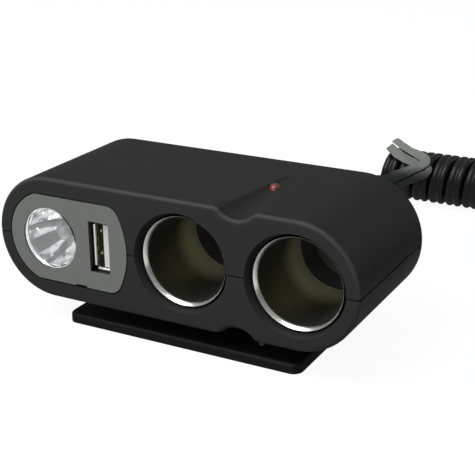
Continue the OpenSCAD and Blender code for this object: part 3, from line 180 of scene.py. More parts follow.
# %% [markdown]
# The lead is a flat twin-core cord: two round cores side by side with a web between them, 5.2 by
# 2.6 mm. It leaves the strain relief at the back, drops to the table, turns under the end of the
# bundle and winds twelve times round its own inner run, then goes to the plug. The points are those
# of the CAD route, in millimetres, so that it lies where its solids are. The winding is a helix: a
# circle's angle and a slow advance. The inner run, which the CAD shows as a plain core, is real
# here: in at one end, a fold at the other, and out.

# %% Lead: its route
mm = 0.001
lead_route = [
    (19, 42, 23.1), (19, 48, 22.8), (18.8, 54, 21.2), (18.2, 60, 17.8),
    (17.2, 65.4, 13.4), (15.8, 70.6, 9), (13.8, 75.8, 5.2), (11, 81, 2.6),
    (7.6, 85.8, 1.6), (3.6, 90.4, 1.4), (-0.4, 95, 1.35), (-3.6, 100.4, 1.35),
    (-5.2, 106.4, 1.35), (-5.6, 113, 1.35), (-5.6, 120.2, 1.35), (-4.8, 123.2, 1.35),
    (-2.8, 125.2, 1.35), (0, 126, 1.35), (2.8, 125.2, 1.35), (4.8, 123.2, 1.35),
    (5.6, 121.2, 1.35), (5.6, 118.4, 1.35),
]
turns, pitch, wrap_r, wrap_x, wrap_y, wrap_z = 12, 5.7, 7.05, 5.6, 115.0, 8.4
first_degrees, points_per_turn = -90, 24
wound = np.linspace(0, 1, turns * points_per_turn + 1)
angle = np.radians(first_degrees - 360 * turns * wound)
helix = np.stack([wrap_x + pitch * turns * wound,
                  wrap_y + wrap_r * np.cos(angle), wrap_z + wrap_r * np.sin(angle)], axis=1)
into_core = [
    (75.2, 110.2, 2.9), (77.4, 107.6, 6.6), (80.6, 107.4, 10.6), (84, 109.4, 13.2), (86, 113, 14),
    (84.8, 116.8, 13.6), (81, 118, 13), (77, 116.6, 12.2), (72.5, 115.2, 11.7),
]
inner_runs = [
    (68, 115, 11.6), (56, 115, 11.6), (44, 115, 11.6), (32, 115, 11.6), (22, 115, 11.6),
    (16, 115, 11.6), (12, 115, 11.4), (8.2, 115, 10.9), (5.2, 115, 9.9), (4.2, 115, 8.4),
    (5.2, 115, 6.9), (8.2, 115, 5.9), (12, 115, 5.4), (16, 115, 5.2), (22, 115, 5.2),
    (32, 115, 5.2), (44, 115, 5.2), (56, 115, 5.2), (68, 115, 5),
]
tail_route = [
    (76, 115, 4.6), (78.8, 114.4, 4), (81, 112.2, 2.8), (82, 108.4, 2), (82.2, 103.8, 2.2),
    (82.4, 99.2, 3.8), (82.8, 94.8, 6.4), (83.4, 90.4, 9.4), (83.9, 86.2, 11.5), (84, 82.2, 12),
    (84, 81, 12),
]
stretches = [lead_route, helix[1:-1], into_core, inner_runs, tail_route]
route = np.concatenate([np.array(stretch, float) for stretch in stretches]) * mm
print("route of", len(route), "points,", turns, "turns of", round(2 * math.pi * wrap_r, 1), "mm")

# %% [markdown]
# A flat cord has to know which way its width faces. Where it lies on the table its width is level,
# which is Z x along. On the winding it is the bundle's own direction, X, and on the fold inside it
# is Y. Where the winding ends, the width eases from one to the other over a few points, because a
# sudden turn would pinch the cord.

# %% Lead: which way its width faces
ring_step, ease_after, ease_over = 0.9 * mm, 2, 2.5
X, Y, Z = np.eye(3)
path, place = smooth_path(route, ring_step)
along = ahead_of(path)
ends = np.cumsum([len(stretch) for stretch in stretches])
wind_start, core_start, fold_start, tail_start = ends[:-1]
ease = np.clip((place - core_start - ease_after) / ease_over, 0, 1)[:, None]
place = place[:, None]
wide = np.where(place < wind_start, np.cross(Z, along), X + 0 * along)
wide = np.where(place >= core_start, (1 - ease) * X + ease * np.cross(along, Z), wide)
wide = np.where(place >= fold_start, Y + 0 * along, wide)
wide = np.where(place >= tail_start, np.cross(Z, along), wide)

# %% [markdown]
# A figure-of-eight section gives the two cores and the groove between them, which is what catches
# the light on such a lead. A round bevel would lose the groove, and two separate tubes would show a
# gap where the web is.

# %% Lead: its mesh
core_r, core_degrees, core_points, web_height = 1.3 * mm, 138, 9, 0.55
lobe = np.radians(np.linspace(-core_degrees, core_degrees, core_points))
right_core = np.stack([core_r + core_r * np.cos(lobe), core_r * np.sin(lobe)], axis=1)
web = np.array([[0, web_height * core_r]])
twin_section = np.concatenate([right_core, web, -right_core, -web])
lead_mesh = swept_mesh("twin_core_lead", path, wide, twin_section)
lead = new_piece("twin_core_lead", lead_mesh, "housing", "cord_black")
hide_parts("cord_lead", "cord_hank", "cord_tail")

# %% [markdown]
# The tie is a strip with a wire inside: flat edges, a raised middle, bent by hand into two nested
# angles. It lies on the bundle, so each point is given as a place along the bundle in millimetres,
# an angle round it in degrees and a height off it in millimetres.

# %% Tie: its path
tie_rows = np.array([
    (7, 83, 3.5), (9.5, 79, 2.4), (12.4, 73, 1.5), (15, 67, 1.3), (17.4, 60.5, 1.3),
    (19.2, 54, 1.3), (19.7, 48, 1.3), (18.8, 41, 1.3), (16.6, 31, 1.3), (13.4, 20, 1.3),
    (9.6, 8, 1.2), (6.6, -1, 0.8), (4, -9, 0), (2, -17, -1), (1.2, -26, -1.4), (1.7, -35, -1),
    (3.6, -36, -0.2), (6.4, -26, 0.4), (9.2, -15, 0.5), (12, -5, 0.5), (15, 6, 0.5),
    (18, 17, 0.5), (20.2, 26, 0.5), (20.8, 33, 0.5), (19.6, 39.5, 0.5), (17, 43.5, 0.6),
    (14, 47, 0.8), (11.2, 53, 1.1), (8.6, 60.5, 1.6), (6.2, 66.5, 2.8),
])
bundle_r, tie_step = 8.35, 0.35 * mm
tie_angle = np.radians(tie_rows[:, 1])
outward = np.stack([0 * tie_angle, -np.cos(tie_angle), np.sin(tie_angle)], axis=1)
bundle_axis = np.stack([tie_rows[:, 0], 0 * tie_angle + wrap_y, 0 * tie_angle + wrap_z], axis=1)
tie_points = (bundle_axis + (bundle_r + tie_rows[:, 2:]) * outward) * mm
tie_path, tie_place = smooth_path(tie_points, tie_step)
print("tie", round(float(gaps(tie_path).sum()) / mm, 1), "mm long")

# %% [markdown]
# Its section is a rounded oblong, from powers of the cosine and the sine, with a bell-shaped rise
# over the wire. The section swells a little and wavers along its length, because a bent strip never
# stays even.

# %% Tie: its mesh
half_wide, half_thick, wire_rise, wire_wide, section_points = 1.65, 0.2, 0.2, 0.55, 24
square_wide, square_thick = 0.55, 0.6
row_numbers = np.arange(len(outward))
tie_out = np.stack([np.interp(tie_place, row_numbers, part) for part in outward.T], axis=1)
tie_wide = np.cross(np.gradient(tie_path, axis=0), tie_out)
turn = np.linspace(0, 2 * np.pi, section_points, endpoint=False)
cosine, sine = np.cos(turn), np.sin(turn)
flat = np.sign(cosine) * np.abs(cosine) ** square_wide * half_wide
over_wire = wire_rise * np.exp(-(flat / wire_wide) ** 2) * np.abs(sine)
bulge = np.sign(sine) * (half_thick * np.abs(sine) ** square_thick + over_wire)
waves = ((0.05, 2.1), (0.03, 5.3))
waver = 1 + sum(amount * np.sin(tie_place * rate) for amount, rate in waves)
tie_section = np.stack([flat[None] * waver[:, None], bulge[None] / waver[:, None]], axis=-1) * mm
tie_mesh = swept_mesh("bent_tie", tie_path, tie_wide, tie_section)
tie = new_piece("bent_tie", tie_mesh, "housing", "tie_grey")
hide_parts("twist_tie")

# %% [markdown]
# The torch's reflector is a bowl pressed into flat facets, which break the bulb's light into an
# even patch. The CAD has the plain bowl. Facets could be a bump in the material, but real ones bend
# the outline of every reflection, so they are in the mesh. A facet lies between two tiers and two
# spokes: because the chords of both tiers run the same way, its four corners lie in one plane, and
# a straight blend between them stays flat.

# %% Reflector: its facets
low, high = (np.array(corner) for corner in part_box("torch_reflector"))
bowl_x, bowl_z = (low[0] + high[0]) / 2, (low[2] + high[2]) / 2
bowl_r, bowl_depth, neck_r, sheet = (high[0] - low[0]) / 2, high[1] - low[1], 3.15 * mm, 0.5 * mm
sectors, tiers, fine, first_spoke = 12, 5, 12, 0.55
bulge_in, bulge_out = 2.1, 0.62


def bowl_radius(share):
    """From the rim, share 0, to the neck, share 1:
    radius = neck + (rim - neck) * (1 - share ** bulge_in) ** bulge_out."""
    return neck_r + (bowl_r - sheet - neck_r) * np.clip(1 - share ** bulge_in, 0, 1) ** bulge_out


tier_share = np.sin(np.linspace(0, np.pi / 2, tiers + 1))
share = np.interp(np.linspace(0, tiers, tiers * fine + 1), np.arange(tiers + 1), tier_share)
spoke = 2 * np.pi * (np.arange(sectors + 1) + first_spoke) / sectors
column = np.linspace(0, sectors, sectors * fine, endpoint=False)
spoke_numbers = np.arange(sectors + 1)
chord = np.stack([np.interp(column, spoke_numbers, way(spoke)) for way in (np.cos, np.sin)])
circle = chord / np.linalg.norm(chord, axis=0)
print(sectors * tiers, "facets, bowl", round(2 * bowl_r / mm, 1), "by", round(bowl_depth / mm, 1))


# %% Reflector: its mesh
def bowl_rings(radius, way):
    """A ring for each share, round the bowl's axis: the directions in way times the radius."""
    depth = low[1] + share * bowl_depth
    return np.stack([bowl_x + radius[:, None] * way[0], depth[:, None] + 0 * way[0],
                     bowl_z + radius[:, None] * way[1]], axis=-1)


facet_crease = math.radians(8)
inside = bowl_rings(np.interp(share, tier_share, bowl_radius(tier_share)), chord)
outside = bowl_rings(bowl_radius(share) + sheet, circle)[::-1]
bowl_mesh = ringed_mesh("faceted_reflector", np.concatenate([inside, outside]))
bowl_mesh.set_sharp_from_angle(angle=facet_crease)
bowl = new_piece("faceted_reflector", bowl_mesh, "housing", "reflector_silver")
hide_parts("torch_reflector")

# %% [markdown]
# A socket tube's mouth is rolled: it opens out in a soft curve, turns over a thin edge and comes
# back outside. Only such a curve is bright where it faces the light, below and to the left, and
# dark on the other side. The CAD has it as a plain cone. The section is drawn here up the bore,
# round the mouth and back along the outside.

# %% Socket tubes
bore, wall, rim_height, crisp, round_points = 10.5 * mm, 0.6 * mm, 0.7 * mm, 0.02 * mm, 144
mouth_depth, mouth_bend, mouth_out, mouth_points = 1.3 * mm, 0.75 * mm, 0.84 * mm, 9
over_edge = np.array([(0.87, 0), (0.9, 0.04), (0.98, 0.2)]) * mm
down_rim = np.array([(-0.2, 0.4), (0, 0.6), (0, 0.68), (-0.02, 0.7)]) * mm
bore_rings = np.array([(0, 0), (0, -0.02), (0, -6), (0, -14)]) * mm


def rolled_tube(name, cad_name):
    """The section (r, y) turned round the socket's axis. The mouth is a curve of degree 2,
    (1 - t)^2 a + 2 t (1 - t) b + t^2 c, from the bore at a to the edge at c; two close rings keep
    each end crisp. A point attribute is 1 on the outside, where the edge is turned over: there the
    finish paints shade."""
    near, far = (np.array(corner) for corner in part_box(cad_name))
    axis_x, axis_z, rim_r = (near[0] + far[0]) / 2, (near[2] + far[2]) / 2, (far[0] - near[0]) / 2
    front, back = near[1], far[1]
    t = np.linspace(0, 1, mouth_points)[:, None]
    a, b, c = np.array([(bore, front + mouth_depth), (bore, front + mouth_bend),
                        (bore + mouth_out, front + crisp)])
    mouth = (1 - t) ** 2 * a + 2 * t * (1 - t) * b + t ** 2 * c
    rim_back = front + rim_height
    outer_wall = [(bore + wall, y) for y in (rim_back, rim_back + crisp, back - crisp, back)]
    inner_part = np.concatenate([bore_rings + (bore, back), mouth])
    outer_part = np.concatenate([over_edge + (bore, front), down_rim + (rim_r, front), outer_wall])
    section = np.concatenate([inner_part, outer_part])
    round_it = np.linspace(0, 2 * np.pi, round_points, endpoint=False)
    rings = np.stack([axis_x + section[:, :1] * np.cos(round_it), section[:, 1:] + 0 * round_it,
                      axis_z + section[:, :1] * np.sin(round_it)], axis=-1)
    mesh = ringed_mesh(name, rings)
    # Marks the turned-over outside, where the finish paints shade.
    outside = np.repeat([0, 1], [len(inner_part), len(outer_part)])
    rolled = np.repeat(outside, round_points).astype(np.float32)
    mesh.attributes.new("rolled", "FLOAT", "POINT").data.foreach_set("value", rolled)
    tube = new_piece(name, mesh, "housing", "socket_metal")
    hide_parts(cad_name)


for side in ("left", "right"):
    rolled_tube(side + "_rolled_tube", side + "_socket_tube")
print("tubes with a bore of", 2 * bore / mm, "mm")

# %% [markdown]
# A USB port's shell is one strip of sheet, folded into a box. At its mouth the four sides turn
# outwards as separate lips with open corners, and two sprung bumps on one side hold the plug. A
# plain box has none of that, and at this size the lips are most of what is seen. The box is a
# rounded rectangle carried back in rings; each lip is a bent leaf swept along its side. The box is
# narrow behind the lips and as wide as the CAD's where the tongue's block sits.

# %% USB shell: its box
near, far = (np.array(corner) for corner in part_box("usb_shell"))
port_x, mid_z = (near[0] + far[0]) / 2, (near[2] + far[2]) / 2
half_w, half_h = (far[0] - near[0]) / 2, (far[2] - near[2]) / 2
sheet_t, corner_r, corner_share, corner_points, edge = 0.28 * mm, 0.55 * mm, 0.3, 6, 0.02 * mm
lip_out, lips_deep, block_deep, step_deep = 0.5 * mm, 1.6 * mm, 5 * mm, 0.5 * mm
box_front, box_wide, box_back = near[1] + lips_deep, far[1] - block_deep, far[1]


def box_ring(shrink, y):
    """The box's outline at y, this much inside its CAD size, with its round corners."""
    w, h, r = half_w - shrink, half_h - shrink, corner_r - corner_share * shrink
    a = np.radians(np.linspace(0, 90, corner_points))
    corners = [np.stack([port_x + sx * (w - r) + r * np.cos(a + k * np.pi / 2), y + 0 * a,
                         mid_z + sz * (h - r) + r * np.sin(a + k * np.pi / 2)], axis=1)
               for k, (sx, sz) in enumerate([(1, 1), (-1, 1), (-1, -1), (1, -1)])]
    return np.concatenate(corners)


stations = [(0, box_back), (0, box_back - edge), (0, box_wide), (lip_out, box_wide - step_deep),
            (lip_out, box_front + edge), (lip_out, box_front)]
outer_rings = [box_ring(shrink + sheet_t, y) for shrink, y in stations]
inner_rings = [box_ring(shrink, y) for shrink, y in stations[::-1]]
port_parts = [ringed_mesh("port_box", np.array(outer_rings + inner_rings))]
print("port box of", len(stations), "stations,", len(port_parts[0].polygons), "faces")

# %% USB shell: its lips and bumps
lip_r, lip_degrees, lip_points, lip_flat = 0.36 * mm, 78, 8, 0.22 * mm
lip_from, lip_gap, leaf_share = 0.1 * mm, 0.1 * mm, 0.45
turn_out = np.radians(np.linspace(0, lip_degrees, lip_points))
for name, across, side_half, reach in (("left", -X, half_h, half_w), ("right", X, half_h, half_w),
                                       ("low", -Z, half_w, half_h), ("high", Z, half_w, half_h)):
    half_span = side_half - lip_out - corner_r - lip_gap
    out = reach - lip_out - sheet_t / 2 + lip_r * (1 - np.cos(turn_out))
    ahead = box_front + lip_from - lip_r * np.sin(turn_out)
    bend = np.array([port_x, 0, mid_z]) + out[:, None] * across + ahead[:, None] * Y
    bend = np.concatenate([bend, bend[-1:] + lip_flat * across])
    leaf = np.array([(-1, -1), (1, -1), (1, 1), (-1, 1)]) * (half_span, sheet_t * leaf_share)
    leaf_wide = np.repeat(np.cross(Y, across)[None], len(bend), axis=0)
    port_parts.append(swept_mesh("lip_" + name, bend, leaf_wide, leaf))
bump_apart, bump_back, bump_sink, bump_high = 6 * mm, 4.2 * mm, 0.05 * mm, 0.8 * mm
bump_long, bump_wide, bump_points, bump_rings, least_square = 0.95 * mm, 0.75 * mm, 24, 9, 1e-4
around = np.linspace(0, 2 * np.pi, bump_points, endpoint=False)
rise = np.linspace(0, 1, bump_rings)[:, None]
swell = np.sqrt(np.maximum(1 - rise ** 2, least_square))
for above in (-bump_apart / 2, bump_apart / 2):
    bump = np.stack([near[0] + lip_out + sheet_t - bump_sink + bump_high * rise + 0 * around,
                     near[1] + bump_back - bump_long * swell * np.cos(around),
                     mid_z + above + bump_wide * swell * np.sin(around)], axis=-1)
    port_parts.append(ringed_mesh("bump", bump, closed=False))
print("port parts", len(port_parts))

# %% USB shell: one mesh
crease = math.radians(40)
points, faces = [], []
for part in port_parts:
    faces += [[len(points) + v for v in polygon.vertices] for polygon in part.polygons]
    points += [tuple(vertex.co) for vertex in part.vertices]
port_mesh = bpy.data.meshes.new("flared_port")
port_mesh.from_pydata(points, [], faces)
port_mesh.shade_smooth()
port_mesh.set_sharp_from_angle(angle=crease)
port = new_piece("flared_port", port_mesh, "housing", "plated_steel")
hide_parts("usb_shell")

# %% [markdown]
# The CAD solids come as loose triangles, which show as flat facets on round parts. Their meshes are
# not touched. A modifier made of geometry nodes joins the triangles, shades them smooth and keeps
# every edge sharper than 40 degrees crisp. Shading everything smooth without the angle would put
# soft smears across flat faces.

# %% Soft shading for the solids
def soft_shading(touching=1e-6):
    """Merge points this close, shade smooth, and mark an edge sharp where its angle is wide."""
    group = bpy.data.node_groups.new("soft_shading", "GeometryNodeTree")
    for way in ("INPUT", "OUTPUT"):
        group.interface.new_socket("Geometry", in_out=way, socket_type="NodeSocketGeometry")
    came, merge, faces, edges, corner, blunt, left = (group.nodes.new(kind) for kind in (
        "NodeGroupInput", "GeometryNodeMergeByDistance", "GeometryNodeSetShadeSmooth",
        "GeometryNodeSetShadeSmooth", "GeometryNodeInputMeshEdgeAngle", "FunctionNodeCompare",
        "NodeGroupOutput"))
    merge.inputs["Distance"].default_value = touching
    faces.domain, edges.domain = "FACE", "EDGE"
    blunt.data_type, blunt.operation = "FLOAT", "LESS_THAN"
    blunt.inputs["B"].default_value = crease
    for socket, target in ((came.outputs[0], merge.inputs["Geometry"]),
                           (merge.outputs[0], faces.inputs["Geometry"]),
                           (faces.outputs[0], edges.inputs["Geometry"]),
                           (edges.outputs[0], left.inputs[0]),
                           (corner.outputs["Unsigned Angle"], blunt.inputs["A"]),
                           (blunt.outputs["Result"], edges.inputs["Shade Smooth"])):
        group.links.new(socket, target)
    return group


shading = soft_shading()
for node in nodes.values():
    node.modifiers.new("soft shading", "NODES").node_group = shading
    node.modifiers.new("even faces", "WEIGHTED_NORMAL").keep_sharp = True
print("soft shading on", len(nodes), "solids")

# %% [markdown]
# Finishes share a few effects, so each effect is one node group: moulded skin for plastics and
# rubber, drawn streaks for metals, and a weave of tracks for the board. A group puts out a colour,
# a roughness and a normal, and the shader itself stays in each material, where its plain numbers
# are set. The patterns read Object coordinates, so they are in metres and lie still on the part.
# Painted textures would need unwrapped surfaces.

# %% Helpers for node trees: numbers
def new_group(name, **values):
    """A shader group with a colour input, the named number inputs, and three outputs."""
    group = bpy.data.node_groups.new(name, "ShaderNodeTree")
    new_socket = group.interface.new_socket
    new_socket("Base", in_out="INPUT", socket_type="NodeSocketColor")
    for title, value in values.items():
        new_socket(title, in_out="INPUT", socket_type="NodeSocketFloat").default_value = value
    for title, kind in (("Color", "NodeSocketColor"), ("Roughness", "NodeSocketFloat"),
                        ("Normal", "NodeSocketVector")):
        new_socket(title, in_out="OUTPUT", socket_type=kind)
    given, result = group.nodes.new("NodeGroupInput"), group.nodes.new("NodeGroupOutput")
    return group, given.outputs, result.inputs


def fed(tree, value, socket):
    """The value, a number or another node's socket, goes into the socket."""
    if isinstance(value, (int, float)):
        socket.default_value = value
    else:
        tree.links.new(value, socket)


def maths(tree, operation, a, b=0):
    """A Math node; a and b are sockets or numbers."""
    node = tree.nodes.new("ShaderNodeMath")
    node.operation = operation
    fed(tree, a, node.inputs[0])
    fed(tree, b, node.inputs[1])
    return node.outputs[0]


def times(tree, first, *others):
    """first * the next * the next, and so on."""
    for other in others:
        first = maths(tree, "MULTIPLY", first, other)
    return first


def plus(tree, first, *others):
    """first + the next + the next, and so on."""
    for other in others:
        first = maths(tree, "ADD", first, other)
    return first


def less_share(tree, *shares):
    """1 - the product of the shares: what is left when so much is taken away."""
    return maths(tree, "SUBTRACT", 1.0, times(tree, *shares))


def ramped(tree, value, start, end, smooth=False, out=(0, 1)):
    """out[0] up to the start, out[1] from the end on, and straight or smooth between them."""
    node = tree.nodes.new("ShaderNodeMapRange")
    node.interpolation_type = "SMOOTHSTEP" if smooth else "LINEAR"
    for title, number in (("From Min", start), ("From Max", end),
                          ("To Min", out[0]), ("To Max", out[1])):
        node.inputs[title].default_value = number
    tree.links.new(value, node.inputs["Value"])
    return node.outputs[0]


# %% Helpers for node trees: places, noise and relief
def coordinates(tree, kind="Object"):
    """Where a point of the surface is, in metres, or with Normal, which way it faces."""
    return tree.nodes.new("ShaderNodeTexCoord").outputs[kind]


def apart(tree, vector):
    """The vector's three parts, as the outputs X, Y and Z."""
    node = tree.nodes.new("ShaderNodeSeparateXYZ")
    tree.links.new(vector, node.inputs[0])
    return node.outputs


def noise(group, where, scale, detail, stretch=None):
    """Noise at a scale in features per metre, along axes that stretch has scaled first."""
    node = group.nodes.new("ShaderNodeTexNoise")
    node.inputs["Detail"].default_value = detail
    fed(group, scale, node.inputs["Scale"])
    if stretch is not None:
        scaled = group.nodes.new("ShaderNodeMapping")
        scaled.inputs["Scale"].default_value = stretch
        group.links.new(where, scaled.inputs["Vector"])
        where = scaled.outputs[0]
    group.links.new(where, node.inputs["Vector"])
    return node.outputs[0]


def centred(group, value):
    """Noise around 0 rather than around a half."""
    return maths(group, "SUBTRACT", value, 0.5)


def tinted(group, colour, factor):
    """The colour times a number that varies over the surface."""
    node = group.nodes.new("ShaderNodeVectorMath")
    node.operation = "SCALE"
    group.links.new(colour, node.inputs[0])
    group.links.new(factor, node.inputs["Scale"])
    return node.outputs[0]


def raised(group, height, depth):
    """A Bump node: height from 0 to 1 times depth in metres."""
    node = group.nodes.new("ShaderNodeBump")
    node.inputs["Strength"].default_value = 1.0
    group.links.new(height, node.inputs["Height"])
    group.links.new(depth, node.inputs["Distance"])
    return node.outputs[0]


def put_out(group, result, colour, roughness, height, depth):
    """The group's three outputs; the normal is that of the height."""
    for title, socket in (("Color", colour), ("Roughness", roughness),
                          ("Normal", raised(group, height, depth))):
        group.links.new(socket, result[title])
    print("effect", group.name, "of", len(group.nodes), "nodes")
    return group


# %% [markdown]
# Moulded plastic copies the spark-eroded skin of its mould: a fine grain, and a tone that wanders
# slowly. Three inputs paint light and shade by place, because a small black part shows its form by
# little else. One paints shade on what lies behind the front face, the walls of an opening; one
# paints shade on what lies near the table; one paints a highlight along the rounding of the front
# face. An image mask could do the same, but would need unwrapped surfaces.

# %% Moulded skin, for plastics and rubber
def moulded_skin():
    """Colour = Base * (1 + Mottle * slow noise) * (1 - sunk) * (1 - low) * (1 + edge * ridge)
    * a fine speck, where sunk and low are painted shade and edge * ridge is a painted highlight;
    ridge = 4 n^2 (1 - n^2), where n is how far the surface faces the front: 1 half way round and 0
    on flat faces, and fading out below. Roughness = Dull + Patchy * noise; height = fine noise."""
    group, given, result = new_group(
        "moulded_skin", Mottle=0.1, Grain=2200, Depth=1e-5, Dull=0.5, Patchy=0.1,
        Sunk=0, Low=0, Edge=0)
    slow_scale, patch_scale, speck_depth, speck_base = 45, 130, 0.24, 0.88
    sunk_from, sunk_full, low_from, low_full = -0.0204, -0.0199, 0.0195, 0.010
    facing_down, facing_up = -0.4, 0.3
    where = coordinates(group)
    at, facing = apart(group, where), apart(group, coordinates(group, "Normal"))
    slow = noise(group, where, slow_scale, 3)
    fine = noise(group, where, given["Grain"], 2)
    patch = noise(group, where, patch_scale, 4)
    mottle = plus(group, times(group, centred(group, slow), given["Mottle"]), 1.0)
    speck = plus(group, times(group, fine, speck_depth), speck_base)
    # Painted shade: darker behind the front face, on the walls of openings.
    behind = less_share(group, ramped(group, at["Y"], sunk_from, sunk_full), given["Sunk"])
    # Painted shade: darker towards the table.
    near_table = ramped(group, at["Z"], low_from, low_full, smooth=True)
    beneath = less_share(group, near_table, given["Low"])
    # Painted highlight: lighter where the surface turns from the front towards the top or the
    # sides.
    ahead = maths(group, "MINIMUM", facing["Y"], 0.0)
    square = times(group, ahead, ahead)
    upward = ramped(group, facing["Z"], facing_down, facing_up, smooth=True)
    rounding = times(group, square, 4.0, less_share(group, square), upward, given["Edge"])
    factor = times(group, mottle, behind, beneath, plus(group, rounding, 1.0), speck)
    rough = plus(group, times(group, centred(group, patch), given["Patchy"]), given["Dull"])
    colour = tinted(group, given["Base"], factor)
    return put_out(group, result, colour, rough, fine, given["Depth"])


skin = moulded_skin()

# %% [markdown]
# Rolled and plated metal has fine streaks along the way it was drawn, with slow stains over them.
# One input darkens it behind the front face, as painted shade, and turns it a little olive, the
# plating's own tint; another brings the brightness back at the inner end, and past it, as a painted
# highlight. Both are masks by depth, as a gradient painted on the tube would be.

# %% Drawn streaks, for rolled and plated metal
def drawn_metal(name, stretch):
    """Noise squeezed across the drawing direction gives streaks in colour, roughness and height.
    Colour = Base * (1 + streaks + stains) * (1 - inside * (1 - inner highlight * inner end))
    * (1 - outside darkening * outside), tinted olive by inside; inside = the inside input between
    the front face and the tube's end. The inside darkening is painted shade, the inner highlight a
    painted highlight and the outside darkening painted shade on the turned-over edge; the olive is
    the plating's own tint."""
    group, given, result = new_group(
        name, Streaks=0.15, Count=3000, Depth=2e-6, Dull=0.25, Tarnish=0.2, Inside=0, Return=0)
    stain_scale, worn_shine, sunk_dull, rolled_dark = 180, -0.5, 0.25, 0.9
    mouth_from, mouth_full, inner_from, inner_full = -0.0180, -0.0173, -0.006, 0.003
    past_end, before_end = 0.014, 0.012
    olive_of = {"X": 0.05, "Z": 0.22}
    where = coordinates(group)
    depth = apart(group, where)["Y"]
    streak = noise(group, where, given["Count"], 2, stretch)
    streaks = times(group, centred(group, streak), given["Streaks"])
    stains = times(group, centred(group, noise(group, where, stain_scale, 4)), given["Tarnish"])
    behind_mouth = ramped(group, depth, mouth_from, mouth_full, smooth=True)
    inner_end = ramped(group, depth, inner_from, inner_full, smooth=True)
    in_tube = ramped(group, depth, past_end, before_end)
    # Painted shade inside, from behind the mouth to the tube's end; the same share gives the
    # plating's own olive tint.
    sunk = times(group, behind_mouth, in_tube, given["Inside"])
    # Painted highlight: the painted shade is taken back at the inner end, and past it.
    kept = less_share(group, inner_end, given["Return"])
    # Painted shade on the turned-over outside of a rolled edge.
    rolled = group.nodes.new("ShaderNodeAttribute")
    rolled.attribute_name = "rolled"
    dulled = less_share(group, rolled.outputs["Fac"], rolled_dark)
    darker = times(group, less_share(group, sunk, kept), dulled)
    factor = times(group, plus(group, streaks, stains, 1.0), darker)
    olive = group.nodes.new("ShaderNodeCombineXYZ")
    olive.inputs["Y"].default_value = 1
    for axis, stained in olive_of.items():
        fed(group, less_share(group, sunk, stained), olive.inputs[axis])
    toned = group.nodes.new("ShaderNodeVectorMath")
    toned.operation = "MULTIPLY"
    group.links.new(tinted(group, given["Base"], factor), toned.inputs[0])
    group.links.new(olive.outputs[0], toned.inputs[1])
    rough = plus(group, times(group, stains, worn_shine), plus(group, given["Dull"], streaks),
                 times(group, sunk, sunk_dull))
    return put_out(group, result, toned.outputs[0], rough, streak, given["Depth"])


drawn_along_y = drawn_metal("drawn_along_y", (1, 0.03, 1))
turned_round_y = drawn_metal("turned_round_y", (0.12, 1, 0.12))

# %% [markdown]
# Two effects are for pieces inside, seen only when the housing is opened. A brick pattern gives the
# tracks under the mask of a circuit board, and a rectified sine gives the turns of wire on a coil.
# Modelled tracks and turns would cost many faces for pieces of a few millimetres.

# %% Tracks of a circuit board, and turns of wire on a coil
def board_tracks():
    """A brick pattern stands for the copper tracks: its mortar is darker and lower."""
    group, given, result = new_group("board_tracks", Tracks=260, Depth=3e-5, Dull=0.35)
    duller = 0.05
    turn = group.nodes.new("ShaderNodeMapping")
    turn.inputs["Rotation"].default_value = (0, math.radians(90), 0)
    bricks = group.nodes.new("ShaderNodeTexBrick")
    for title, value in (("Mortar Size", 0.06), ("Mortar", (0.55, 0.55, 0.55, 1)),
                         ("Color1", (1.5, 1.5, 1.5, 1)), ("Color2", (1, 1, 1, 1))):
        bricks.inputs[title].default_value = value
    group.links.new(coordinates(group), turn.inputs["Vector"])
    group.links.new(turn.outputs[0], bricks.inputs["Vector"])
    group.links.new(given["Tracks"], bricks.inputs["Scale"])
    flat = times(group, bricks.outputs["Color"], 1.0)
    rough = plus(group, times(group, flat, duller), given["Dull"])
    colour = tinted(group, given["Base"], flat)
    return put_out(group, result, colour, rough, flat, given["Depth"])


def wound_wire():
    """Bands across X: height = |sine of the distance|, so each turn of wire stands round."""
    group, given, result = new_group("wound_wire", Turns=2400, Depth=1.2e-4, Dull=0.3)
    darkest, lighter, shinier = 0.5, 0.6, -0.1
    along_coil = apart(group, coordinates(group))["X"]
    wave = maths(group, "ABSOLUTE", maths(group, "SINE", times(group, along_coil, given["Turns"])))
    colour = tinted(group, given["Base"], plus(group, times(group, wave, lighter), darkest))
    rough = plus(group, times(group, wave, shinier), given["Dull"])
    return put_out(group, result, colour, rough, wave, given["Depth"])


tracks, winding = board_tracks(), wound_wire()

# %% [markdown]
# Each finish of the record gets one material. A plain colour would look like a drawing, so even the
# blackest plastic here has a fine spark-eroded grain, a slow change of tone and patches of duller
# and shinier surface. The numbers that are the same all over, such as metal or clear, are typed on
# the shader's own sockets.

# %% Finishes: how one is made
def finish(slot, group, base, plain, values):
    """A material: the group's colour, roughness and normal go into a Principled shader with its
    plain sockets set. A base of one number is a grey."""
    material = bpy.data.materials.new(slot)
    material.use_nodes = True
    tree = material.node_tree
    shader = tree.nodes["Principled BSDF"]
    effect = tree.nodes.new("ShaderNodeGroup")
    effect.node_tree = group
    effect.inputs["Base"].default_value = (*(base if isinstance(base, tuple) else (base,) * 3), 1)
    for title, value in values.items():
        effect.inputs[title].default_value = value
    for title in ("Color", "Roughness", "Normal"):
        tree.links.new(effect.outputs[title], shader.inputs[title.replace("Color", "Base Color")])
    for title, value in plain.items():
        shader.inputs[title].default_value = value
    return material


def glossy(level):
    """How strongly a plastic mirrors its surroundings; 0.5 is a usual one."""
    return {"Specular IOR Level": level}


def lacquered(weight, roughness):
    """A clear layer over the colour."""
    return {"Coat Weight": weight, "Coat Roughness": roughness}


quiet, metal, clear = glossy(0.22), {"Metallic": 1.0}, {"Transmission Weight": 1.0, "IOR": 1.49}
mirror = {"Metallic": 0.85, "IOR": 1.8}
waxy = {"Subsurface Weight": 0.2, "Subsurface Scale": 0.001}
print("a quiet plastic has", quiet)

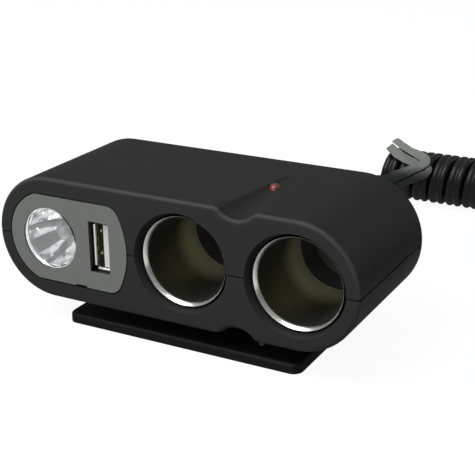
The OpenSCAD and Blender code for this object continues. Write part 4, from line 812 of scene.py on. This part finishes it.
# %% Finishes: plastics, rubber and glass
plastics = {
    # The housing gets a painted highlight along the rounding of its front edge.
    "housing_black": (skin, 0.0115, quiet,
                      dict(Grain=2600, Depth=1.2e-5, Dull=0.6, Mottle=0.2, Edge=1.9)),
    "base_black": (skin, 0.0045, glossy(0.12), dict(Grain=2400, Depth=1.2e-5, Dull=0.5)),
    # The bezel gets painted shade on the walls of its openings, behind its front face.
    "bezel_grey": (skin, (0.13, 0.137, 0.128), quiet,
                   dict(Grain=3000, Depth=8e-6, Dull=0.48, Mottle=0.12, Sunk=0.93)),
    "switch_black": (skin, 0.016, quiet, dict(Grain=2000, Depth=1e-5, Dull=0.4)),
    "insulator_black": (skin, (0.05, 0.05, 0.045), glossy(0.5),
                        dict(Grain=900, Depth=2e-5, Dull=0.3)),
    "tongue_white": (skin, (0.6, 0.6, 0.57), glossy(0.4), dict(Grain=2600, Depth=5e-6, Dull=0.35)),
    "plug_black": (skin, 0.014, quiet, dict(Grain=2400, Depth=1.4e-5, Dull=0.48, Mottle=0.2)),
    "relief_black": (skin, 0.013, quiet, dict(Grain=1500, Depth=1e-5, Dull=0.62)),
    "cord_black": (skin, 0.006, glossy(0.28), dict(Grain=700, Depth=2.5e-5, Dull=0.33, Patchy=0.2)),
    "wire_black": (skin, 0.012, quiet, dict(Grain=900, Depth=1e-5, Dull=0.35)),
    "wire_red": (skin, (0.32, 0.016, 0.014), quiet, dict(Grain=900, Depth=1e-5, Dull=0.35)),
    # The tie gets painted shade, darker towards the table.
    "tie_grey": (skin, (0.20, 0.215, 0.205), quiet,
                 dict(Grain=420, Depth=9e-5, Dull=0.42, Mottle=0.5, Patchy=0.25, Low=0.9)),
    "adhesive_grey": (skin, (0.09, 0.094, 0.09), quiet,
                      dict(Grain=2600, Depth=1.2e-4, Dull=0.85, Mottle=0.3)),
    "chip_black": (skin, (0.02, 0.02, 0.022), quiet, dict(Grain=4000, Depth=6e-6, Dull=0.5)),
    "led_white": (skin, (0.22, 0.235, 0.235), lacquered(1.0, 0.03) | waxy,
                  dict(Grain=500, Depth=2e-6, Dull=0.1, Patchy=0.02)),
    "indicator_red": (skin, (0.15, 0.024, 0.022), lacquered(0.05, 0.3),
                      dict(Grain=600, Depth=2e-6, Dull=0.22, Patchy=0.04)),
    "lens_clear": (skin, (0.99, 1.0, 1.0), clear,
                   dict(Grain=350, Depth=1e-6, Dull=0.02, Mottle=0.01, Patchy=0.01)),
    "fuse_glass": (skin, (0.93, 0.96, 0.95), clear,
                   dict(Grain=300, Depth=1e-6, Dull=0.03, Mottle=0.02, Patchy=0.02)),
    "board_green": (tracks, (0.01, 0.075, 0.03), lacquered(0.3, 0.2), dict(Tracks=420, Dull=0.35)),
    "inductor_brown": (winding, (0.22, 0.075, 0.022), lacquered(0.5, 0.15),
                       dict(Turns=9000, Dull=0.3)),
}
finishes = {slot: finish(slot, *row) for slot, row in plastics.items()}
print("plastics", len(finishes))

# %% Finishes: metals
metals = {
    # Socket tubes: painted shade inside, a painted highlight at the inner end, and the plating's
    # olive tint.
    "socket_metal": (drawn_along_y, (0.62, 0.63, 0.59), metal,
                     dict(Streaks=0.06, Count=2600, Dull=0.24, Tarnish=0.08, Inside=0.75,
                          Return=1.5)),
    "reflector_silver": (turned_round_y, (0.95, 0.96, 0.96), mirror,
                         dict(Streaks=0.02, Count=400, Depth=5e-7, Dull=0.09, Tarnish=0.05)),
    # The port: painted shade inside, a painted highlight at its inner end, and the plating's olive
    # tint.
    "plated_steel": (drawn_along_y, (0.68, 0.67, 0.60), metal,
                     dict(Streaks=0.1, Count=1800, Dull=0.24, Tarnish=0.25, Inside=0.62, Return=1)),
    "steel": (turned_round_y, (0.58, 0.58, 0.6), metal,
              dict(Streaks=0.15, Count=2400, Dull=0.3, Tarnish=0.3)),
    "spring_steel": (turned_round_y, (0.55, 0.54, 0.5), metal,
                     dict(Streaks=0.15, Count=3600, Dull=0.26, Tarnish=0.2)),
    "lead_wire": (drawn_along_y, (0.66, 0.66, 0.64), metal,
                  dict(Streaks=0.1, Count=2600, Dull=0.3, Tarnish=0.2)),
    "contact_gold": (drawn_along_y, (0.83, 0.62, 0.27), metal,
                     dict(Streaks=0.06, Count=2600, Dull=0.2, Tarnish=0.15)),
    "contact_brass": (turned_round_y, (0.62, 0.55, 0.38), metal,
                      dict(Streaks=0.15, Count=2200, Dull=0.27, Tarnish=0.35)),
}
finishes |= {slot: finish(slot, *row) for slot, row in metals.items()}
slot_of = {row["node"]: row["material_slot"] for row in frame["record"]["subparts"]}
for title, node in nodes.items():
    if not node.material_slots:
        node.data.materials.append(finishes[slot_of[title]])
    for place_in_list in node.material_slots:
        place_in_list.material = finishes[slot_of[title]]
for piece, slot in own_pieces:
    piece.data.materials.append(finishes[slot])

# %% [markdown]
# The photograph has a white ground without a horizon and soft light from above and from the left:
# the front edge shows a pale line, the right end falls off into the dark. The floor shows itself
# white to the camera, through glass and in front to reflections, with Light Path, and its plain
# grey part keeps the shadow. A white floor without Light Path would need lamps so strong that the
# part would lose its black.

# %% Floor
half_side, just_below, cloth_grey, glow_strength, glow_share = 4, -0.0001, 0.4, 1.17, 0.8
mirrored_from, mirrored_full, mirrored_least = -0.03, -0.06, 0.1
floor_mesh = bpy.data.meshes.new("floor")
square = ((-1, -1), (1, -1), (1, 1), (-1, 1))
corners = [(x * half_side, y * half_side, just_below) for x, y in square]
floor_mesh.from_pydata(corners, [], [(0, 1, 2, 3)])
floor = bpy.data.objects.new("floor", floor_mesh)
bpy.context.scene.collection.objects.link(floor)
paper = bpy.data.materials.new("pale_paper")
paper.use_nodes = True
tree = paper.node_tree
tree.nodes.remove(tree.nodes["Principled BSDF"])
cloth, glow, blend, light_path = (tree.nodes.new(kind) for kind in (
    "ShaderNodeBsdfDiffuse", "ShaderNodeEmission", "ShaderNodeMixShader", "ShaderNodeLightPath"))
cloth.inputs["Color"].default_value = (cloth_grey, cloth_grey, cloth_grey, 1)
glow.inputs["Strength"].default_value = glow_strength
rays = light_path.outputs
# Painted light: in reflections the floor glows fully from 6 cm in front of the part, and a tenth of
# that from 3 cm in front and behind.
in_front = ramped(tree, apart(tree, coordinates(tree))["Y"], mirrored_from, mirrored_full,
                  out=(mirrored_least, 1.0))
straight = maths(tree, "MAXIMUM", rays["Is Camera Ray"], rays["Is Transmission Ray"])
shown = plus(tree, times(tree, rays["Is Glossy Ray"], in_front), straight)
tree.links.new(times(tree, shown, glow_share), blend.inputs["Fac"])
tree.links.new(cloth.outputs[0], blend.inputs[1])
tree.links.new(glow.outputs[0], blend.inputs[2])
tree.links.new(blend.outputs[0], tree.nodes["Material Output"].inputs["Surface"])
floor_mesh.materials.append(paper)
print("floor", 2 * half_side, "m wide")

# %% [markdown]
# The world is paler above and towards the left than to the right, as a tent with one dark side
# would be. A picture of a studio would give richer reflections, but it is a file, and this script
# reads none.

# %% World
toward_light = (-0.25, -0.22, 0.94)
dark_at, pale_at, darkest, palest = -0.4, 1.0, 0.08, 0.52
world = bpy.data.worlds.new("soft_tent")
bpy.context.scene.world = world
world.use_nodes = True
tree = world.node_tree
sky = tree.nodes["Background"]
side = tree.nodes.new("ShaderNodeVectorMath")
side.operation = "DOT_PRODUCT"
side.inputs[1].default_value = toward_light
tree.links.new(coordinates(tree, "Generated"), side.inputs[0])
tent = ramped(tree, side.outputs["Value"], dark_at, pale_at, out=(darkest, palest))
rays = tree.nodes.new("ShaderNodeLightPath").outputs
straight = maths(tree, "MAXIMUM", rays["Is Camera Ray"], rays["Is Transmission Ray"])
tree.links.new(maths(tree, "MAXIMUM", tent, straight), sky.inputs["Strength"])
sky.inputs["Color"].default_value = (1, 1, 1, 1)
print("world strength from", darkest, "to", palest)

# %% [markdown]
# Four soft lamps give the direction of the light: a large one above and to the left, a weak one
# that draws the front edge, one low enough to reach into the sockets, and a weak one behind for the
# end at the right. Small or strong lamps would put hard spots on the black plastic, which the
# photograph doesn't have.

# %% Lamps
def soft_lamp(name, place, aim, size, watts):
    """A square area lamp at place that faces aim: its -Z looks along aim - place."""
    data = bpy.data.lights.new(name, "AREA")
    data.size, data.energy = size, watts
    lamp = bpy.data.objects.new(name, data)
    bpy.context.scene.collection.objects.link(lamp)
    away = np.array(place, float) - np.array(aim, float)
    away /= np.linalg.norm(away)
    across = np.cross(Z, away)
    across /= np.linalg.norm(across)
    lamp.matrix_world = own_axes(across, np.cross(away, across), away, place)
    return lamp


lamps = [
    soft_lamp("above_left", (-0.25, -0.4, 0.8), (0, 0, 0.02), 0.6, 6.5),
    soft_lamp("front_edge", (-0.1, -0.8, 0.45), (0, 0, 0.03), 0.7, 1.5),
    soft_lamp("into_sockets", (0.0, -0.8, 0.1), (0.02, 0, 0.023), 0.4, 1.5),
    soft_lamp("behind_right", (0.75, 0.8, 0.4), (0.03, 0.03, 0.03), 0.5, 0.8),
]
bpy.context.scene.view_settings.view_transform = "Standard"
print("lamps", [(lamp.name, round(lamp.data.energy, 2)) for lamp in lamps])
